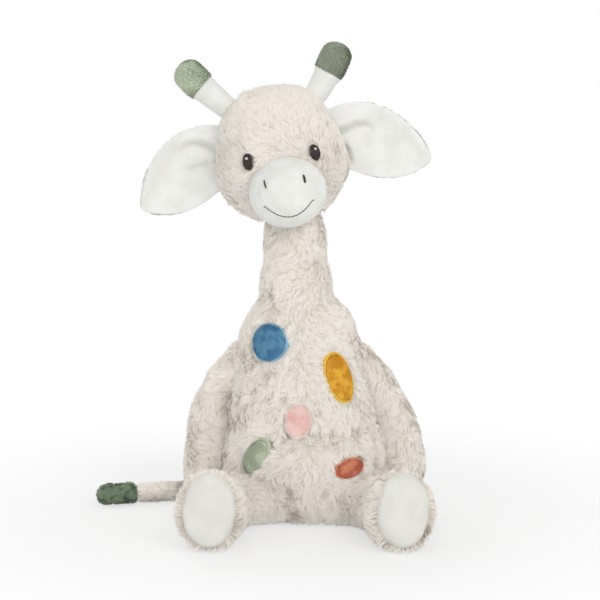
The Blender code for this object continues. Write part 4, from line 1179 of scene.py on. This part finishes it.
# Tail
# A thin stuffed tube with a green tip. It lies on the floor and comes round to the toy's own right.
tail_green = fur_dye("tail_green", (0.090, 0.140, 0.080), (0.300, 0.400, 0.260), vary=0.25, patch=0.15)
tail_backing = backing_dye("tail_backing", (0.14, 0.20, 0.12))
TAIL_PILE = {"length": 0.0048, "width": 0.00074, "tuft": 0.0038}
TAIL_VOXEL = 0.0016
tail_low, tail_high = (np.array(corner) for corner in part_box("tail"))
tip_low, tip_high = (np.array(corner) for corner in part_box("tail_tip"))
for node, slot, count, height, unruly, dye, ground, low, high in (
    ("tail", "fur", 11000, 0.0020, 1.0, fur, backing, tail_low, tail_high),
    ("tail_tip", "tail_green", 4000, 0.0028, 1.7, tail_green, tail_backing, tip_low, tip_high),
):
    tube_form = form(node, voxel=TAIL_VOXEL, low=low - FORM_ROOM, high=high + FORM_ROOM)
    tube = cloth(node + "_backing", tube_form, ground, 0.0020)
    at, up, area = sown(tube, count, 91)
    fleece = {**TAIL_PILE, "height": height}
    locks = comb(at, up, area, lambda at, up: flow(at, -1, -0.2, 0), fleece, 92, unruly=unruly)
    hair = pile(node + "_pile", locks, dye, fleece, 93)
    for thing in (tube, hair):
        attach(thing, "tail")
    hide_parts(node)

# Belly spots
# Ovals of coloured velour laid on the belly and sewn down a little inside their edges. Their nap is rubbed
# both ways, so parts of each look paler, and the rim outside the stitches is palest.
SPOT_COLOURS = {  # its dark nap, its light nap, its rim, and how dark its line of stitches is
    "blue": ((0.062, 0.195, 0.365), (0.135, 0.330, 0.480), (0.290, 0.500, 0.610), 0.25),
    "yellow": ((0.660, 0.290, 0.020), (0.860, 0.520, 0.060), (0.880, 0.560, 0.080), 0.55),
    "pink": ((0.850, 0.560, 0.500), (0.900, 0.700, 0.640), (0.915, 0.800, 0.745), 0.15),
    "green": ((0.430, 0.500, 0.350), (0.600, 0.660, 0.510), (0.560, 0.630, 0.470), 0.60),
    "red": ((0.520, 0.130, 0.070), (0.760, 0.300, 0.190), (0.760, 0.320, 0.210), 0.50),
}
SPOT_LOCKS = 250000  # for each metre of its largest radius
SPOT_NAP = {"length": 0.0015, "height": 0.0004, "width": 0.00045, "tuft": 0.0020}
SPOT_NAP_SHARE = 0.93  # how far out the nap goes
SPOT_STITCH = 0.86  # where its stitches run, as a share of the way out


def spot_rise(share):
    """Flat, with a groove along the stitches, and an edge that goes down into the pile."""
    groove = 0.0008 * math.exp(-(((share - SPOT_STITCH) / 0.03) ** 2))
    return 0.0002 - 0.0006 * share**2 - groove - 0.0030 * max(0, (share - 0.90) / 0.10) ** 2


def spot_dye(name, dark, light, rim, line):
    """Rubbed velour, paler outside its line of stitches."""
    dye = Dye(name, roughness=0.85, sheen=0.35, sheen_roughness=0.35)
    out, lock, _ = dye.attribute("pile")
    fine = dye.noise(0.0010, detail=3.0)
    swept = dye.noise(0.009, detail=2.0).between(0.36, 0.64)
    tone = (0.60 * swept + 0.22 * fine + 0.18 * lock).between(0.10, 0.90)
    colour = out.between(SPOT_STITCH - 0.01, SPOT_STITCH + 0.05).mix(tone.mix(dark, light), rim)
    thread = (out - SPOT_STITCH).math("ABSOLUTE", out - SPOT_STITCH).between(0.030, 0.004)
    return dye.feed(colour=dye.times(colour, dye.grey(1 - line * thread)), normal=dye.bump(fine, 0.0003, 0.8))


for k, (colour, dyes) in enumerate(SPOT_COLOURS.items()):
    edge = spot_edges[colour]
    velour = spot_dye("velour_" + colour, *dyes)
    patch = oval("spot_cloth_" + colour, "spot_" + colour, velour, skin_form, spot_rise, 100 + k)
    at, up, area = sown(patch, int(SPOT_LOCKS * max(edge.radii)), 110 + k)
    across, high = edge.spread(at)
    share = np.hypot(across, high) / edge.radius(np.arctan2(high, across))
    inside = share < SPOT_NAP_SHARE
    swept = edge.right * 0.3 - edge.up
    locks = comb(at[inside], up[inside], area, lambda at, up, swept=swept: flow(at, *swept), SPOT_NAP,
                 120 + k, unruly=1.2)
    nap = pile("spot_nap_" + colour, locks, velour, SPOT_NAP, 130 + k)
    tones = read(nap.data.attributes["pile"].data, "color", 4, np.float32).reshape(-1, 5, 4)
    tones[:, :, 0] = share[inside][:, None]
    nap.data.attributes["pile"].data.foreach_set("color", tones.ravel())
    for thing in (patch, nap):
        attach(thing, "body")
    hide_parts("spot_" + colour)

# Studio
# A pale floor that turns white away from the toy, soft light from above and the front, and the view of the
# photograph.
CAMERA_PLACE = Vector((-0.00085, -1.6, 0.42))
CAMERA_PITCH = math.radians(8.43)
CAMERA_LENS = 113.0

floor_net = bmesh.new()
bmesh.ops.create_grid(floor_net, x_segments=1, y_segments=1, size=6)
floor_data = bpy.data.meshes.new("studio_floor")
floor_net.to_mesh(floor_data)
floor_net.free()
studio_floor = place("studio_floor", floor_data)
paper = Dye("paper", roughness=0.9, shine=0)
paper.shader.inputs["Base Color"].default_value = (0.86, 0.86, 0.855, 1)
glow = paper.node("ShaderNodeEmission", {}, {"Color": (1.0, 1.0, 1.0), "Strength": 1.0})
ways = paper.tree.nodes.new("ShaderNodeLightPath").outputs
seen = Shade(paper, ways["Is Camera Ray"]) + Shade(paper, ways["Is Glossy Ray"])
seen = seen + Shade(paper, ways["Is Transmission Ray"])
away = paper.node("ShaderNodeVectorMath", {"operation": "LENGTH"}, {0: paper.place()}, out=1)
surface = Shade(paper, paper.shader.outputs[0])
white = 0.58 + 0.42 * away.between(0.15, 0.42)
lit = paper.node("ShaderNodeMixShader", {}, {0: seen * white, 1: surface, 2: glow})
paper.tree.links.new(lit.socket, paper.tree.nodes["Material Output"].inputs["Surface"])
floor_data.materials.append(paper.material)

world = bpy.data.worlds.new("studio")
bpy.context.scene.world = world
world.use_nodes = True
sky = world.node_tree.nodes["Background"]
sky.inputs["Color"].default_value = (1, 1, 1, 1)
world_ways = world.node_tree.nodes.new("ShaderNodeLightPath")
level = world.node_tree.nodes.new("ShaderNodeMapRange")
level.inputs["To Min"].default_value = 0.68
level.inputs["To Max"].default_value = 1.0
world.node_tree.links.new(world_ways.outputs["Is Camera Ray"], level.inputs["Value"])
world.node_tree.links.new(level.outputs["Result"], sky.inputs["Strength"])


def lamp(name, where, size, power):
    light = bpy.data.lights.new(name, "AREA")
    light.shape = "DISK"
    light.size = size
    light.energy = power
    thing = place(name, light)
    thing.location = where
    thing.rotation_euler = (Vector((0, 0, 0.18)) - Vector(where)).to_track_quat("-Z", "Y").to_euler()


lamp("key", (0.9, -1.3, 1.05), 0.9, 8.6)
lamp("fill", (-1.0, -1.4, 0.14), 1.2, 6.6)
lamp("rear", (-0.5, 1.4, 1.1), 1.2, 8.0)

view = bpy.data.cameras.new("view")
view.lens = CAMERA_LENS
view.sensor_width = 36
view.clip_start = 0.01
camera = place("view", view)
camera.location = CAMERA_PLACE
camera.rotation_euler = (math.pi / 2 - CAMERA_PITCH, 0, 0)
bpy.context.scene.camera = camera
bpy.context.scene.view_settings.view_transform = "Standard"
